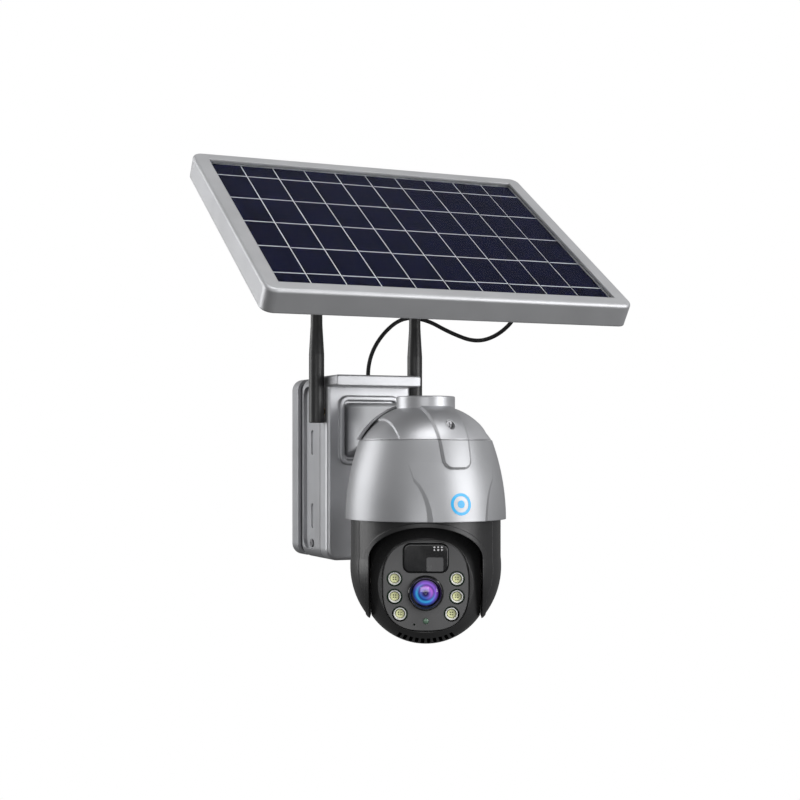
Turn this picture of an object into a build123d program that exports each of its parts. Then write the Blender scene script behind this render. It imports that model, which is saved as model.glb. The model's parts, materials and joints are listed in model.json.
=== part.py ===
"""Solar-powered pan and tilt security camera: wall box, dome camera on an arm, and a panel on its own bracket.

Millimetres, +Z up. The origin is the centre of the wall plate's back face, so the wall is the plane y = 0,
the object stands out towards -Y, and x = 0 is the mirror plane of the box, the arm and the panel.
"""

import math
import os

from build123d import *

os.makedirs("parts", exist_ok=True)

# Wall box
box_width = 69.0
box_height = 140.0
box_corner = 9.0
box_wall = 3.0
shell_wall = 4.4
plate_depth = 13.0
plate_floor = 4.0
neck_depth = 11.0
neck_inset = 3.0
shell_depth = 39.0
seal_depth = 1.0
cover_depth = 14.5
cover_wall = 2.5
edge_round = 3.0
lip_reach = 20.0
lip_height = 8.5
fit_gap = 0.3

# Rim on the cover around the arm's root
rim_width = 50.0
rim_low, rim_high = 2.6, 55.0
rim_band = 4.0
rim_proud = 3.0
rim_corner = 7.0

# Long recess on each side of the box
recess_depth = 2.4
recess_width = 28.0
recess_length = 126.0
recess_at = 40.0

# Battery and boards
cell_diameter = 18.3
cell_length = 65.0
cell_pitch = 18.33
cell_low = -56.0
board_thickness = 1.6

# Underside: power button, charging port and its flap
button_x, port_x, underside_y = -14.0, 6.0, -44.0
button_radius = 4.5
button_travel = 0.8
port_size = (9.0, 3.3)
flap_size = (22.0, 12.0, 1.5)

# Antennas
antenna_gap = 0.4
antenna_y = -72.7
antenna_pivot_z = 43.0
antenna_foot = 34.3
antenna_top = 155.0
antenna_radius = 5.8
antenna_straight = 86.0
antenna_tip_radius = 4.1
antenna_pin_radius = 1.8
socket_radius = 2.6

# Arm
arm_width = 40.0
arm_low, arm_high = 8.0, 49.6
arm_far_low, arm_far_high = 28.9, 46.9
arm_far_width = 30.0
arm_reach = 166.0
arm_wall = 3.2
arm_boss_radius = 3.6
arm_boss_length = 13.0
arm_screw_radius = 1.3
harness_radius = 2.5
harness_z = 32.0

# Dome
dome_y = -182.0
hood_radius = 56.0
hood_low, hood_seam = -33.8, 20.9
hood_curve = 153.0
hood_wall = 2.2
cap_radius = 46.0
cap_wall = 2.6
cap_top = 42.5
collar_radius = 20.5
collar_top = 51.3
cap_step = 1.1
band_half_width = 33.5
shield_proud = 1.6
tongue_steps = [(0.0, 0.5), (0.6, 1.0), (1.1, 1.4)]
cap_side_step = 0.2
saddle_thickness = 2.0
saddle_from = 8.0
facet_turn = 42.4
facet_at = (22.4, 51.3)
chassis_low, chassis_high = 5.0, 8.0
chassis_radius = 46.0
ledge_radius = 42.0
ledge_depth = 2.5
spindle_radius = 8.0
spindle_bore = 6.0
spindle_end = -27.9
running_gap = 0.05
post_reach = 29.5
post_radius = 3.6
hub_radius = 12.0
hub_top = -1.0
turntable_radius = 46.0
turntable_low, turntable_high = -25.3, -22.3
gear_low, gear_face = -14.0, 6.0
gear_seat = 10.0
pinion_shaft = 2.5
pan_motor_radius = 12.0
pan_motor_height = 16.5

# Gears
gear_module = 0.8
pinion_teeth = 16
pan_teeth = 48
tilt_teeth = 36
pressure_angle = math.radians(20)
tooth_backlash = 0.16

# Yoke and head, which rest turned to one side and tilted a little down
rest_pan = -24.6
rest_tilt = 5.0
yoke_radius = 52.3
yoke_wall = 2.3
yoke_top = -25.5
yoke_roof = 2.5
yoke_gap_half = 38.5
yoke_low, yoke_foot = -102.0, 40.0
yoke_split = 26.0
yoke_seam = 0.4
arch_spring, arch_rise = 15.0, 22.6
rim_side, rim_stand = 3.0, 0.7
rear_opening = 3.0
yoke_screws_at = [(-24, -33), (24, -33), (-30, 22), (30, 22)]
tilt_z = -75.0
head_radius = 46.0
head_wall = 2.2
head_flat = 37.5
face_cut = 32.7
face_half_width = 28.7
face_half_height = 30.6
face_thickness = 3.0
face_stand = 0.4
face_margin = 1.0
face_flange = (0.6, 1.0)
face_squareness = 0.74
head_split, head_seam = 2.0, 0.2
board_depth = 25.0
led_base = 1.8
reflector_depth = 4.3
sensor_depth = 2.0
barrel_radius = 8.6
glass_curve = 20.0
light_sensor_z = -24.2
microphone_at = (-7.8, -26.6)
vent_reach, vent_count, vent_span = 40.2, 10, 53.0
vent_length, vent_width = 5.2, 2.4
pir_stand = 0.8
axle_radius = 7.0
axle_bore = 4.0
axle_flange = 10.0
axle_end = 43.0
ear_reach = 13.0
tilt_gear_face = 3.2
gear_inset = 2.3
tilt_motor_radius = 10.0
tilt_motor_length = 17.0
lens_z = -4.9
lens_ring_radius = 12.0
lens_glass_radius = 9.6
pir_size = (30.5, 20.0)
pir_z = 19.0
led_radius = 4.2
chip_radius, chip_height = 2.8, 2.6
led_places = [(21.1, 4.8), (21.1, -7.4), (17.5, -19.3)]
led_hole = 5.4

# Panel
panel_tilt = 34.0
panel_centre = (0.0, -148.6, 171.4)
cells_width, cells_height = 247.7, 189.3
frame_border = 11.5
frame_top, frame_back = 3.5, -13.5
frame_corner = 8.0
cell_columns = 10
cell_gap = 1.1
rebate = 3.0
glass_low, glass_top = 0.1, 1.2
cell_thickness = 0.5
junction_at = (100.0, 22.0)
junction_size = (44.0, 52.0, 13.0)
gland_at = (109.0, 10.0)
gland_length = 8.0
mount_thickness = 3.0
pivot_depth = 27.0
pivot_round = 9.0
lug_half = 7.8
bracket_width = 24.0
bracket_height = 16.0
bracket_plate = (50.0, 64.0, 3.0)
bracket_middle = 168.0
slot_back = 12.0
gusset_length = 18.0
bolt_radius = 3.0
knob_radius = 9.8
knob_length = 13.0

# Cable from the box to the panel's junction box, as the points its path turns at
cable_diameter = 3.2
cable_points = [
    (14, -42, 72),
    (14, -42, 84),
    (24, -43, 104),
    (42, -44.5, 119.5),
    (60, -51, 118),
    (76, -62, 107),
    (91, -78, 98.5),
    (102, -95, 103),
    (111, -110, 117),
    (109, -111.4, 134.2),
    (109, -121.03, 148.37),
]

shell_front = plate_depth + neck_depth + shell_depth
cover_back = shell_front + seal_depth
box_front = cover_back + cover_depth
half_width = box_width / 2
antenna_x = half_width + antenna_gap + antenna_radius


def save(name, piece):
    """Label a finished piece with its node name and write it."""
    piece.part.label = name
    export_step(piece.part, f"parts/{name}.step")


def out_from_wall(distance):
    """A plane parallel to the wall whose normal points away from it."""
    return Plane.XZ.offset(distance)


def place_on(plane, *point):
    """The row-frame position of a point given in a plane's own axes."""
    return plane.from_local_coords(point)


# ---------------------------------------------------------------- wall box

plate_holes = [(x, z) for x in (-20, 20) for z in (-50, 50)]

with BuildPart() as wall_plate:
    with BuildSketch(out_from_wall(0)):
        RectangleRounded(box_width, box_height, box_corner)
    extrude(amount=plate_depth)
    with BuildSketch(out_from_wall(plate_floor)):
        RectangleRounded(box_width - 2 * neck_inset, box_height - 2 * neck_inset, box_corner - neck_inset)
    extrude(amount=plate_depth, mode=Mode.SUBTRACT)
    with Locations(Plane.XZ.offset(plate_floor)):
        with Locations(*plate_holes):
            CounterSinkHole(radius=2.25, counter_sink_radius=4.2, depth=plate_floor)
    fillet(wall_plate.edges().group_by(Axis.Y)[0].filter_by(GeomType.LINE), 0.6)
save("wall_plate", wall_plate)

neck_width = box_width - 2 * (neck_inset + fit_gap)
neck_height = box_height - 2 * (neck_inset + fit_gap)
neck_back = plate_floor + 4.5
neck_corner = box_corner - neck_inset - fit_gap

with BuildPart() as rear_shell:
    with BuildSketch(out_from_wall(neck_back)):
        RectangleRounded(neck_width, neck_height, neck_corner)
    extrude(amount=plate_depth + neck_depth - neck_back)
    with BuildSketch(out_from_wall(plate_depth + neck_depth)):
        RectangleRounded(box_width, box_height, box_corner)
    extrude(amount=shell_depth)
    fillet(rear_shell.edges().filter_by(Plane.XZ).filter_by_position(
        Axis.Y, -plate_depth - neck_depth - 0.1, -plate_depth - neck_depth + 0.1
    ).group_by(SortBy.LENGTH)[-1], 0.8)
    with BuildSketch(out_from_wall(neck_back + box_wall)):
        RectangleRounded(neck_width - 2 * box_wall, neck_height - 2 * box_wall, 2.0)
    extrude(amount=plate_depth + neck_depth - neck_back, mode=Mode.SUBTRACT)
    with BuildSketch(out_from_wall(plate_depth + neck_depth + box_wall)):
        RectangleRounded(box_width - 2 * shell_wall, box_height - 2 * shell_wall, box_corner - shell_wall)
    extrude(amount=shell_depth, mode=Mode.SUBTRACT)
    for side in (-1, 1):
        side_plane = Plane(origin=(side * half_width, 0, 0), x_dir=(0, 1, 0), z_dir=(side, 0, 0))
        with BuildSketch(side_plane):
            with Locations((-recess_at, 0)):
                RectangleRounded(recess_width, recess_length, box_corner)
        extrude(amount=-recess_depth, mode=Mode.SUBTRACT)
        with BuildSketch(side_plane.offset(-recess_depth)):
            with Locations((-recess_at, side * 19.5), (-recess_at, side * -37.5)):
                SlotOverall(19, 5, rotation=90)
        extrude(amount=-0.9, mode=Mode.SUBTRACT)
        with Locations(Plane(origin=(side * half_width, -recess_at, -58.7), z_dir=(side, 0, 0))):
            Hole(radius=1.6)
    with BuildSketch(Plane.XY.offset(-box_height / 2)):
        with Locations((button_x, underside_y)):
            Circle(button_radius + 0.2)
        with Locations((port_x, underside_y)):
            SlotOverall(port_size[0] + 0.6, port_size[1] + 0.6)
    extrude(amount=shell_wall, mode=Mode.SUBTRACT)
    with BuildSketch(Plane.XY.offset(box_height / 2)):
        with Locations((cable_points[0][0], cable_points[0][1])):
            Circle(4.0)
    extrude(amount=-shell_wall, mode=Mode.SUBTRACT)
save("box_rear_shell", rear_shell)

with BuildPart() as box_seal:
    with BuildSketch(out_from_wall(shell_front)):
        RectangleRounded(box_width - 1.2, box_height - 1.2, box_corner - 0.6)
        RectangleRounded(
            box_width - 2 * box_wall, box_height - 2 * box_wall, box_corner - box_wall, mode=Mode.SUBTRACT
        )
    extrude(amount=seal_depth)
save("box_seal", box_seal)

rim_height = rim_high - rim_low
rim_middle = (rim_high + rim_low) / 2
arm_screw_places = [(x, z) for x in (-13, 13) for z in (14, 43)]

with BuildPart() as front_cover:
    with BuildSketch(out_from_wall(cover_back)):
        RectangleRounded(box_width, box_height, box_corner)
    extrude(amount=cover_depth)
    fillet(front_cover.faces().sort_by(Axis.Y)[0].edges(), edge_round)
    with BuildSketch(out_from_wall(cover_back)):
        with Locations((0, (box_height - lip_height) / 2)):
            RectangleRounded(box_width, lip_height, 2.0)
    extrude(amount=cover_depth + lip_reach)
    fillet(front_cover.faces().sort_by(Axis.Y)[0].edges(), 1.2)
    with BuildSketch(out_from_wall(box_front)):
        with Locations((0, rim_middle)):
            RectangleRounded(rim_width, rim_height, rim_corner)
            RectangleRounded(
                rim_width - 2 * rim_band, rim_height - 2 * rim_band, rim_corner - rim_band, mode=Mode.SUBTRACT
            )
    extrude(amount=rim_proud)
    fillet(front_cover.edges().filter_by_position(
        Axis.Y, -box_front - rim_proud - 0.01, -box_front - rim_proud + 0.01), 1.2)
    with BuildSketch(out_from_wall(cover_back)):
        RectangleRounded(box_width - 2 * cover_wall, box_height - 2 * cover_wall, box_corner - cover_wall)
    extrude(amount=cover_depth - cover_wall, mode=Mode.SUBTRACT)
    for side in (-1, 1):
        with BuildSketch(Plane.YZ.offset(side * (half_width - cover_wall - 1))):
            with Locations((antenna_y, antenna_pivot_z)):
                Circle(socket_radius + running_gap)
        extrude(amount=side * 10, mode=Mode.SUBTRACT)
    with BuildSketch(out_from_wall(box_front - cover_wall)):
        with Locations(*arm_screw_places):
            Circle(1.8)
        with Locations((0, harness_z)):
            Circle(harness_radius + 1)
    extrude(amount=cover_wall, mode=Mode.SUBTRACT)
save("box_front_cover", front_cover)

with BuildPart() as side_screws:
    for side in (-1, 1):
        screw_plane = Plane(
            origin=(side * (half_width - recess_depth), -recess_at, -58.7), x_dir=(0, 1, 0), z_dir=(side, 0, 0)
        )
        with BuildSketch(screw_plane):
            Circle(3.2)
        extrude(amount=1.1)
        with BuildSketch(screw_plane):
            Circle(1.5)
        extrude(amount=-2.4)
        with BuildSketch(screw_plane.offset(1.1)):
            Rectangle(3.6, 0.8)
            Rectangle(0.8, 3.6)
        extrude(amount=-0.7, mode=Mode.SUBTRACT)
save("box_side_screws", side_screws)

# ---------------------------------------------------------------- inside the box

cell_back = neck_back + box_wall + 0.4
cell_places = [
    (column * cell_pitch, -(cell_back + cell_diameter / 2 + layer * cell_pitch))
    for column in (-1, 0, 1)
    for layer in (0, 1)
]

with BuildPart() as battery_cells:
    with BuildSketch(Plane.XY.offset(cell_low)):
        with Locations(*cell_places):
            Circle(cell_diameter / 2)
    extrude(amount=cell_length)
    with BuildSketch(Plane.XY.offset(cell_low + cell_length)):
        with Locations(*cell_places):
            Circle(3.0)
    extrude(amount=0.8)
save("battery_cells", battery_cells)

holder_half = cell_pitch + cell_diameter / 2
holder_depth = cell_pitch + cell_diameter

with BuildPart() as battery_holder:
    with BuildSketch(out_from_wall(cell_back)):
        with Locations((0, cell_low + cell_length / 2)):
            Rectangle(neck_width - 2 * box_wall - fit_gap, cell_length + 5.2)
            Rectangle(2 * holder_half, cell_length + 2.0, mode=Mode.SUBTRACT)
    extrude(amount=holder_depth)
save("battery_holder", battery_holder)

with BuildPart() as power_board:
    with BuildSketch(out_from_wall(plate_depth + neck_depth + box_wall + 6)):
        with Locations((0, 38)):
            Rectangle(54, 44)
    extrude(amount=board_thickness)
    with BuildSketch(out_from_wall(plate_depth + neck_depth + box_wall + 6 + board_thickness)):
        with Locations((-16, 44)):
            Rectangle(12, 12)
        with Locations((8, 26)):
            Rectangle(16, 10)
        with Locations((20, 50)):
            Circle(4)
    extrude(amount=6)
save("power_board", power_board)

board_at = cover_back - 8.0

with BuildPart() as modem_board:
    with BuildSketch(out_from_wall(board_at)):
        with Locations((0, 0)):
            RectangleRounded(52, 112, 2)
        with Locations((0, harness_z)):
            Circle(harness_radius + 2, mode=Mode.SUBTRACT)
    extrude(amount=board_thickness)
    with BuildSketch(out_from_wall(board_at + board_thickness)):
        with Locations((-8, 4)):
            Rectangle(30, 24)
        with Locations((12, -30)):
            Rectangle(16, 14)
        with Locations((-12, -42)):
            Rectangle(15, 13)
    extrude(amount=2.4)
save("modem_board", modem_board)

with BuildPart() as antenna_sockets:
    for side in (-1, 1):
        socket_plane = Plane(
            origin=(side * (half_width - 7.5), antenna_y, antenna_pivot_z), x_dir=(0, 1, 0), z_dir=(side, 0, 0)
        )
        with BuildSketch(socket_plane):
            Circle(socket_radius)
        extrude(amount=7.4)
        with BuildSketch(socket_plane.offset(1.9)):
            RegularPolygon(3.2, 6)
        extrude(amount=2.9)
        with BuildSketch(socket_plane.offset(2.5)):
            Circle(antenna_pin_radius + running_gap)
        extrude(amount=8, mode=Mode.SUBTRACT)
save("antenna_sockets", antenna_sockets)

switch_top = -box_height / 2 + shell_wall + 5.1

with BuildPart() as power_switch:
    with BuildSketch(Plane.XY.offset(switch_top)):
        with Locations(((button_x + port_x) / 2, underside_y)):
            RectangleRounded(40, 22, 2)
    extrude(amount=board_thickness)
    with BuildSketch(Plane.XY.offset(switch_top - 2.6)):
        with Locations((button_x, underside_y)):
            Rectangle(7, 7)
    extrude(amount=2.6)
save("power_switch", power_switch)

with BuildPart() as charging_port:
    with BuildSketch(Plane.XY.offset(-box_height / 2 + 0.6)):
        with Locations((port_x, underside_y)):
            SlotOverall(*port_size)
            SlotOverall(port_size[0] - 0.6, port_size[1] - 0.6, mode=Mode.SUBTRACT)
    extrude(amount=box_wall + 5.9)
    with BuildSketch(Plane.XY.offset(-box_height / 2 + 2.0)):
        with Locations((port_x, underside_y)):
            Rectangle(6.6, 0.7)
    extrude(amount=box_wall + 4.5)
    with BuildSketch(Plane.XY.offset(switch_top - 1.2)):
        with Locations((port_x, underside_y)):
            SlotOverall(*port_size)
    extrude(amount=1.2)
save("charging_port", charging_port)

button_low = -box_height / 2 - 1.6
button_high = switch_top - 2.6 - button_travel - 0.1

with BuildPart() as power_button:
    with BuildSketch(Plane.XY.offset(button_low)):
        with Locations((button_x, underside_y)):
            Circle(button_radius)
    extrude(amount=button_high - button_low)
    fillet(power_button.edges().sort_by(Axis.Z)[0], 0.8)
    with BuildSketch(Plane.XY.offset(-box_height / 2 + shell_wall + 0.1)):
        with Locations((button_x, underside_y)):
            Circle(button_radius + 1.2)
    extrude(amount=0.8)
save("power_button", power_button)

with BuildPart() as port_cover:
    with BuildSketch(Plane.XY.offset(-box_height / 2 - 0.1 - flap_size[2])):
        with Locations((port_x, underside_y)):
            RectangleRounded(flap_size[0], flap_size[1], 4)
    extrude(amount=flap_size[2])
    fillet(port_cover.edges().group_by(Axis.Z)[0], 0.6)
save("port_cover", port_cover)

cable_exit = cable_points[0]

with BuildPart() as cable_grommet:
    with BuildSketch(Plane.XY.offset(box_height / 2)):
        with Locations(cable_exit[:2]):
            Circle(6.0)
    extrude(amount=cable_exit[2] - box_height / 2, taper=20)
    with BuildSketch(Plane.XY.offset(box_height / 2 - shell_wall - 1.5)):
        with Locations(cable_exit[:2]):
            Circle(3.8)
    extrude(amount=shell_wall + 1.5)
save("cable_grommet", cable_grommet)

# ---------------------------------------------------------------- antennas


def antenna(side):
    """A straight whip that turns on a pin in the box's side; side is -1 for left and 1 for right."""
    with BuildPart() as whip:
        section = Plane(origin=(side * antenna_x, antenna_y, 0), x_dir=(1, 0, 0), z_dir=(0, -1, 0))
        with BuildSketch(section):
            with BuildLine():
                Polyline(
                    (0, antenna_foot),
                    (antenna_radius - 0.5, antenna_foot),
                    (antenna_radius, antenna_foot + 0.5),
                    (antenna_radius, antenna_straight),
                    (antenna_tip_radius + 0.4, 108),
                    (antenna_tip_radius, antenna_top - 3),
                    (antenna_tip_radius - 2, antenna_top),
                    (0, antenna_top),
                    close=True,
                )
            make_face()
        revolve(axis=Axis((side * antenna_x, antenna_y, 0), (0, 0, 1)))
        pin_plane = Plane(
            origin=(side * antenna_x, antenna_y, antenna_pivot_z), x_dir=(0, 1, 0), z_dir=(-side, 0, 0)
        )
        with BuildSketch(pin_plane):
            Circle(antenna_pin_radius)
        extrude(amount=antenna_x - half_width + 3.6)
    return whip


antenna_left, antenna_right = antenna(-1), antenna(1)
save("antenna_left", antenna_left)
save("antenna_right", antenna_right)

# ---------------------------------------------------------------- dome shells

dome_axis = Axis((0, dome_y, 0), (0, 0, 1))
dome_section = Plane(origin=(0, dome_y, 0), x_dir=(1, 0, 0), z_dir=(0, -1, 0))


def hood_radius_at(z):
    """Outer radius of the hood at a height."""
    return hood_radius - (z - hood_low) ** 2 / (2 * hood_curve)


def hood_solid(grow_low, grow_high, low=hood_low, high=hood_seam - 0.2):
    """A solid turned to the hood's outline, grown by two amounts at its bottom and top edges."""
    middle = (low + high) / 2
    with BuildPart() as turned:
        with BuildSketch(dome_section):
            with BuildLine():
                ThreePointArc(
                    (hood_radius_at(low) + grow_low, low),
                    (hood_radius_at(middle) + (grow_low + grow_high) / 2, middle),
                    (hood_radius_at(high) + grow_high, high),
                )
                Polyline(
                    (hood_radius_at(high) + grow_high, high), (0, high), (0, low),
                    (hood_radius_at(low) + grow_low, low),
                )
            make_face()
        revolve(axis=dome_axis)
    return turned.part


def cap_solid(grow, low=hood_seam, grow_low=None):
    """A solid turned to the cap's outline, grown by an amount that may differ at its lower edge, without the collar."""
    foot = cap_radius + (grow if grow_low is None else grow_low)
    with BuildPart() as turned:
        with BuildSketch(dome_section):
            with BuildLine():
                ThreePointArc((foot, low), (37.4 + 0.75 * grow, 32.3 + 0.66 * grow), (21.5, cap_top + grow))
                Polyline((21.5, cap_top + grow), (0, cap_top + grow), (0, low), (foot, low))
            make_face()
        revolve(axis=dome_axis)
    return turned.part


def front_prism(outline, depth=80):
    """A prism from the dome's axis towards the front, cut to an outline given as a closed line."""
    with BuildPart() as prism:
        with BuildSketch(dome_section):
            with BuildLine():
                outline()
            make_face()
        extrude(amount=depth)
    return prism.part


def tongue_prism(inset):
    """A prism to the outline of the tongue that tapers down the front from the collar, inset by an amount."""
    top, low = 12.6 - inset, 10.2 - inset
    with BuildPart() as prism:
        with BuildSketch(dome_section):
            with BuildLine():
                FilletPolyline(
                    (-top, 44), (-low, 1.3 + inset), (low, 1.3 + inset), (top, 44),
                    close=True, radius=[0.2, 6.5 - inset, 6.5 - inset, 0.2],
                )
            make_face()
        extrude(amount=80)
    return prism.part


def shield_outline():
    """Front shield of the hood, wide at the seam and narrower at the rim."""
    Spline((-band_half_width, hood_seam), (-29.2, -6.5), (-22.4, hood_low - 1))
    Line((-22.4, hood_low - 1), (22.4, hood_low - 1))
    Spline((22.4, hood_low - 1), (29.2, -6.5), (band_half_width, hood_seam))
    Line((band_half_width, hood_seam), (-band_half_width, hood_seam))


cap_screw_azimuths = (-90, 42, 138)
cap_screw_z = 31.0
cap_screw_reach = 38.0


def cap_screw_plane(azimuth, reach):
    """A plane facing outwards at a cap screw, at a distance from the dome's axis."""
    turn = math.radians(azimuth)
    out = (math.cos(turn), math.sin(turn), 0)
    origin = (reach * out[0], dome_y + reach * out[1], cap_screw_z)
    return Plane(origin=origin, x_dir=(-out[1], out[0], 0), z_dir=out)


with BuildPart() as cap_band:
    add(cap_solid(0))
    with BuildSketch(Plane.XY):
        with Locations((0, dome_y)):
            Rectangle(2 * band_half_width, 120)
    extrude(amount=80, mode=Mode.INTERSECT)

cap_tongue = [cap_solid(proud) & tongue_prism(inset) for inset, proud in tongue_steps]

with BuildPart() as hood_cap:
    add(cap_solid(-cap_step, grow_low=-cap_side_step))
    add(cap_band.part)
    for layer in cap_tongue:
        add(layer)
    with BuildSketch(Plane.XY.offset(cap_top - 6)):
        with Locations((0, dome_y)):
            Circle(collar_radius)
    extrude(amount=collar_top - cap_top + 6)
    fillet(hood_cap.edges().filter_by(GeomType.CIRCLE).sort_by(Axis.Z)[-1], 1.0)
    add(cap_solid(-cap_step - cap_wall, low=hood_seam - 1), mode=Mode.SUBTRACT)
    with BuildSketch(Plane.XY.offset(cap_top - 12)):
        with Locations((0, dome_y)):
            Circle(collar_radius - cap_wall)
    extrude(amount=collar_top - cap_top + 12 - cap_wall, mode=Mode.SUBTRACT)
    with BuildSketch(out_from_wall(-dome_y - 60)):
        with Locations((0, harness_z)):
            Circle(harness_radius + 1.5)
    extrude(amount=40, mode=Mode.SUBTRACT)
    for azimuth in cap_screw_azimuths:
        with BuildSketch(cap_screw_plane(azimuth, cap_screw_reach - 1.5)):
            Circle(3.0)
        extrude(amount=20, mode=Mode.SUBTRACT)
        with BuildSketch(cap_screw_plane(azimuth, 20)):
            Circle(1.7)
        extrude(amount=20, mode=Mode.SUBTRACT)
save("hood_cap", hood_cap)

with BuildPart() as shield:
    add(hood_solid(shield_proud, -0.6))
    add(front_prism(shield_outline), mode=Mode.INTERSECT)
    for side in (-1, 1):
        slant = math.radians(facet_turn)
        outward = (side * math.sin(slant), -math.cos(slant), 0)
        with BuildSketch(Plane(origin=(side * facet_at[0], dome_y - facet_at[1], hood_low), z_dir=outward)):
            Rectangle(200, 200)
        extrude(amount=60, mode=Mode.SUBTRACT)

hood_tongue = [
    hood_solid(proud + shield_proud, proud) & tongue_prism(inset) for inset, proud in tongue_steps
]

with BuildPart() as hood_shell:
    add(hood_solid(0, 0))
    add(shield.part)
    for layer in hood_tongue:
        add(layer)
    add(hood_solid(-hood_wall, -hood_wall, low=hood_low - 1, high=chassis_high), mode=Mode.SUBTRACT)
    with BuildSketch(Plane.XY):
        with Locations((0, dome_y)):
            Circle(ledge_radius)
    extrude(amount=40, mode=Mode.SUBTRACT)
    add(hood_solid(-hood_wall, -hood_wall, low=chassis_high + ledge_depth, high=hood_seam + 1), mode=Mode.SUBTRACT)
save("hood_shell", hood_shell)

with BuildPart() as cap_screws:
    for azimuth in cap_screw_azimuths:
        with BuildSketch(cap_screw_plane(azimuth, cap_screw_reach - 1.4)):
            Circle(2.6)
        extrude(amount=1.6)
        with BuildSketch(cap_screw_plane(azimuth, cap_screw_reach - 1.4)):
            Circle(1.5)
        extrude(amount=-8)
        with BuildSketch(cap_screw_plane(azimuth, cap_screw_reach + 0.2)):
            Rectangle(3.2, 0.8)
            Rectangle(0.8, 3.2)
        extrude(amount=-0.9, mode=Mode.SUBTRACT)
save("cap_screws", cap_screws)

# ---------------------------------------------------------------- arm


def arm_section(distance, inset, width):
    """Section of the arm at a distance from the wall: its corners' heights, inset from the outside."""
    along = (distance - box_front) / (arm_reach - box_front)
    low = arm_low + (arm_far_low - arm_low) * along + inset
    high = arm_high + (arm_far_high - arm_high) * along - inset
    with BuildSketch(out_from_wall(distance)) as section:
        with Locations((0, (low + high) / 2)):
            RectangleRounded(width - 2 * inset, high - low, 4.0)
    return section.sketch


with BuildPart() as saddle:
    add(cap_solid(saddle_thickness, low=hood_seam + fit_gap))
    with BuildSketch(out_from_wall(-dome_y - saddle_from)):
        Rectangle(160, 160)
    extrude(amount=-80, mode=Mode.INTERSECT)

with BuildPart() as arm:
    add(saddle.part)
    loft([arm_section(box_front, 0, arm_width).face(), arm_section(arm_reach, 0, arm_far_width).face()])
    loft(
        [arm_section(box_front, arm_wall, arm_width).face(), arm_section(arm_reach - 14, arm_wall, 34).face()],
        mode=Mode.SUBTRACT,
    )
    with BuildSketch(out_from_wall(box_front)):
        with Locations(*arm_screw_places):
            Circle(arm_boss_radius)
        with Locations(*[(x * 1.2, z) for x, z in arm_screw_places]):
            Rectangle(arm_boss_radius * 2, 2.4)
    extrude(amount=arm_boss_length)
    with BuildSketch(out_from_wall(box_front)):
        with Locations(*arm_screw_places):
            Circle(arm_screw_radius + 0.05)
    extrude(amount=arm_boss_length - 1, mode=Mode.SUBTRACT)
    add(cap_solid(fit_gap), mode=Mode.SUBTRACT)
    for azimuth in cap_screw_azimuths:
        with BuildSketch(cap_screw_plane(azimuth, cap_screw_reach - 1.5)):
            Circle(3.0)
        extrude(amount=20, mode=Mode.SUBTRACT)
    with BuildSketch(Plane.XY.offset(cap_top - 12)):
        with Locations((0, dome_y)):
            Circle(collar_radius + 0.2)
    extrude(amount=30, mode=Mode.SUBTRACT)
save("arm", arm)

with BuildPart() as arm_screws:
    with BuildSketch(out_from_wall(box_front - cover_wall)):
        with Locations(*arm_screw_places):
            Circle(3.2)
    extrude(amount=-2.2)
    with BuildSketch(out_from_wall(box_front - cover_wall)):
        with Locations(*arm_screw_places):
            Circle(arm_screw_radius)
    extrude(amount=12)
save("arm_screws", arm_screws)

with BuildPart() as arm_harness:
    with BuildLine() as harness_line:
        FilletPolyline(
            (0, -(board_at - 4), harness_z),
            (0, dome_y, harness_z),
            (0, dome_y, yoke_top - 2),
            radius=14,
        )
    with BuildSketch(Plane(harness_line.line @ 0, z_dir=harness_line.line % 0)):
        Circle(harness_radius)
    sweep()
save("arm_harness", arm_harness)

# ---------------------------------------------------------------- pan drive


def gear_points(teeth, phase):
    """Involute outline of a spur gear with a tooth at the phase angle, in degrees."""
    pitch = gear_module * teeth / 2
    base = pitch * math.cos(pressure_angle)
    root, tip = pitch - 1.25 * gear_module, pitch + gear_module
    half_tooth = math.pi / (2 * teeth) - tooth_backlash / (2 * pitch)
    start = half_tooth + math.tan(pressure_angle) - pressure_angle

    def half_angle(radius):
        """Half the tooth's angle at a radius."""
        slope = math.acos(min(1.0, base / radius))
        return start - (math.tan(slope) - slope)

    flank_low = max(base, root)
    radii = [flank_low + (tip - flank_low) * step / 4 for step in range(5)]
    rise = [(radius, -half_angle(radius)) for radius in radii]
    if root < flank_low:
        rise.insert(0, (root, -half_angle(flank_low)))
    profile = rise + [(radius, -angle) for radius, angle in reversed(rise)]
    points = []
    for tooth in range(teeth):
        middle = math.radians(phase) + 2 * math.pi * tooth / teeth
        points += [(r * math.cos(middle + a), r * math.sin(middle + a)) for r, a in profile]
    return points


def gear_pair_distance(teeth):
    """Distance between a gear's axis and its pinion's."""
    return gear_module * (teeth + pinion_teeth) / 2


def opposite_phase(direction):
    """Phase of a pinion whose gap faces a gear tooth that points in a direction."""
    return direction + 180 + 180 / pinion_teeth


pan_motor_azimuth = -30
pan_motor_reach = gear_pair_distance(pan_teeth)
pan_motor_place = (
    pan_motor_reach * math.cos(math.radians(pan_motor_azimuth)),
    dome_y + pan_motor_reach * math.sin(math.radians(pan_motor_azimuth)),
)


def ring(low, high, outer, inner):
    """A ring about the dome's axis between two heights."""
    with BuildPart() as turned:
        with BuildSketch(Plane.XY.offset(low)):
            with Locations((0, dome_y)):
                Circle(outer)
                Circle(inner, mode=Mode.SUBTRACT)
        extrude(amount=high - low)
    return turned


post_places = [
    (post_reach * math.cos(math.radians(a)), dome_y + post_reach * math.sin(math.radians(a)))
    for a in cap_screw_azimuths
]

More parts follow.
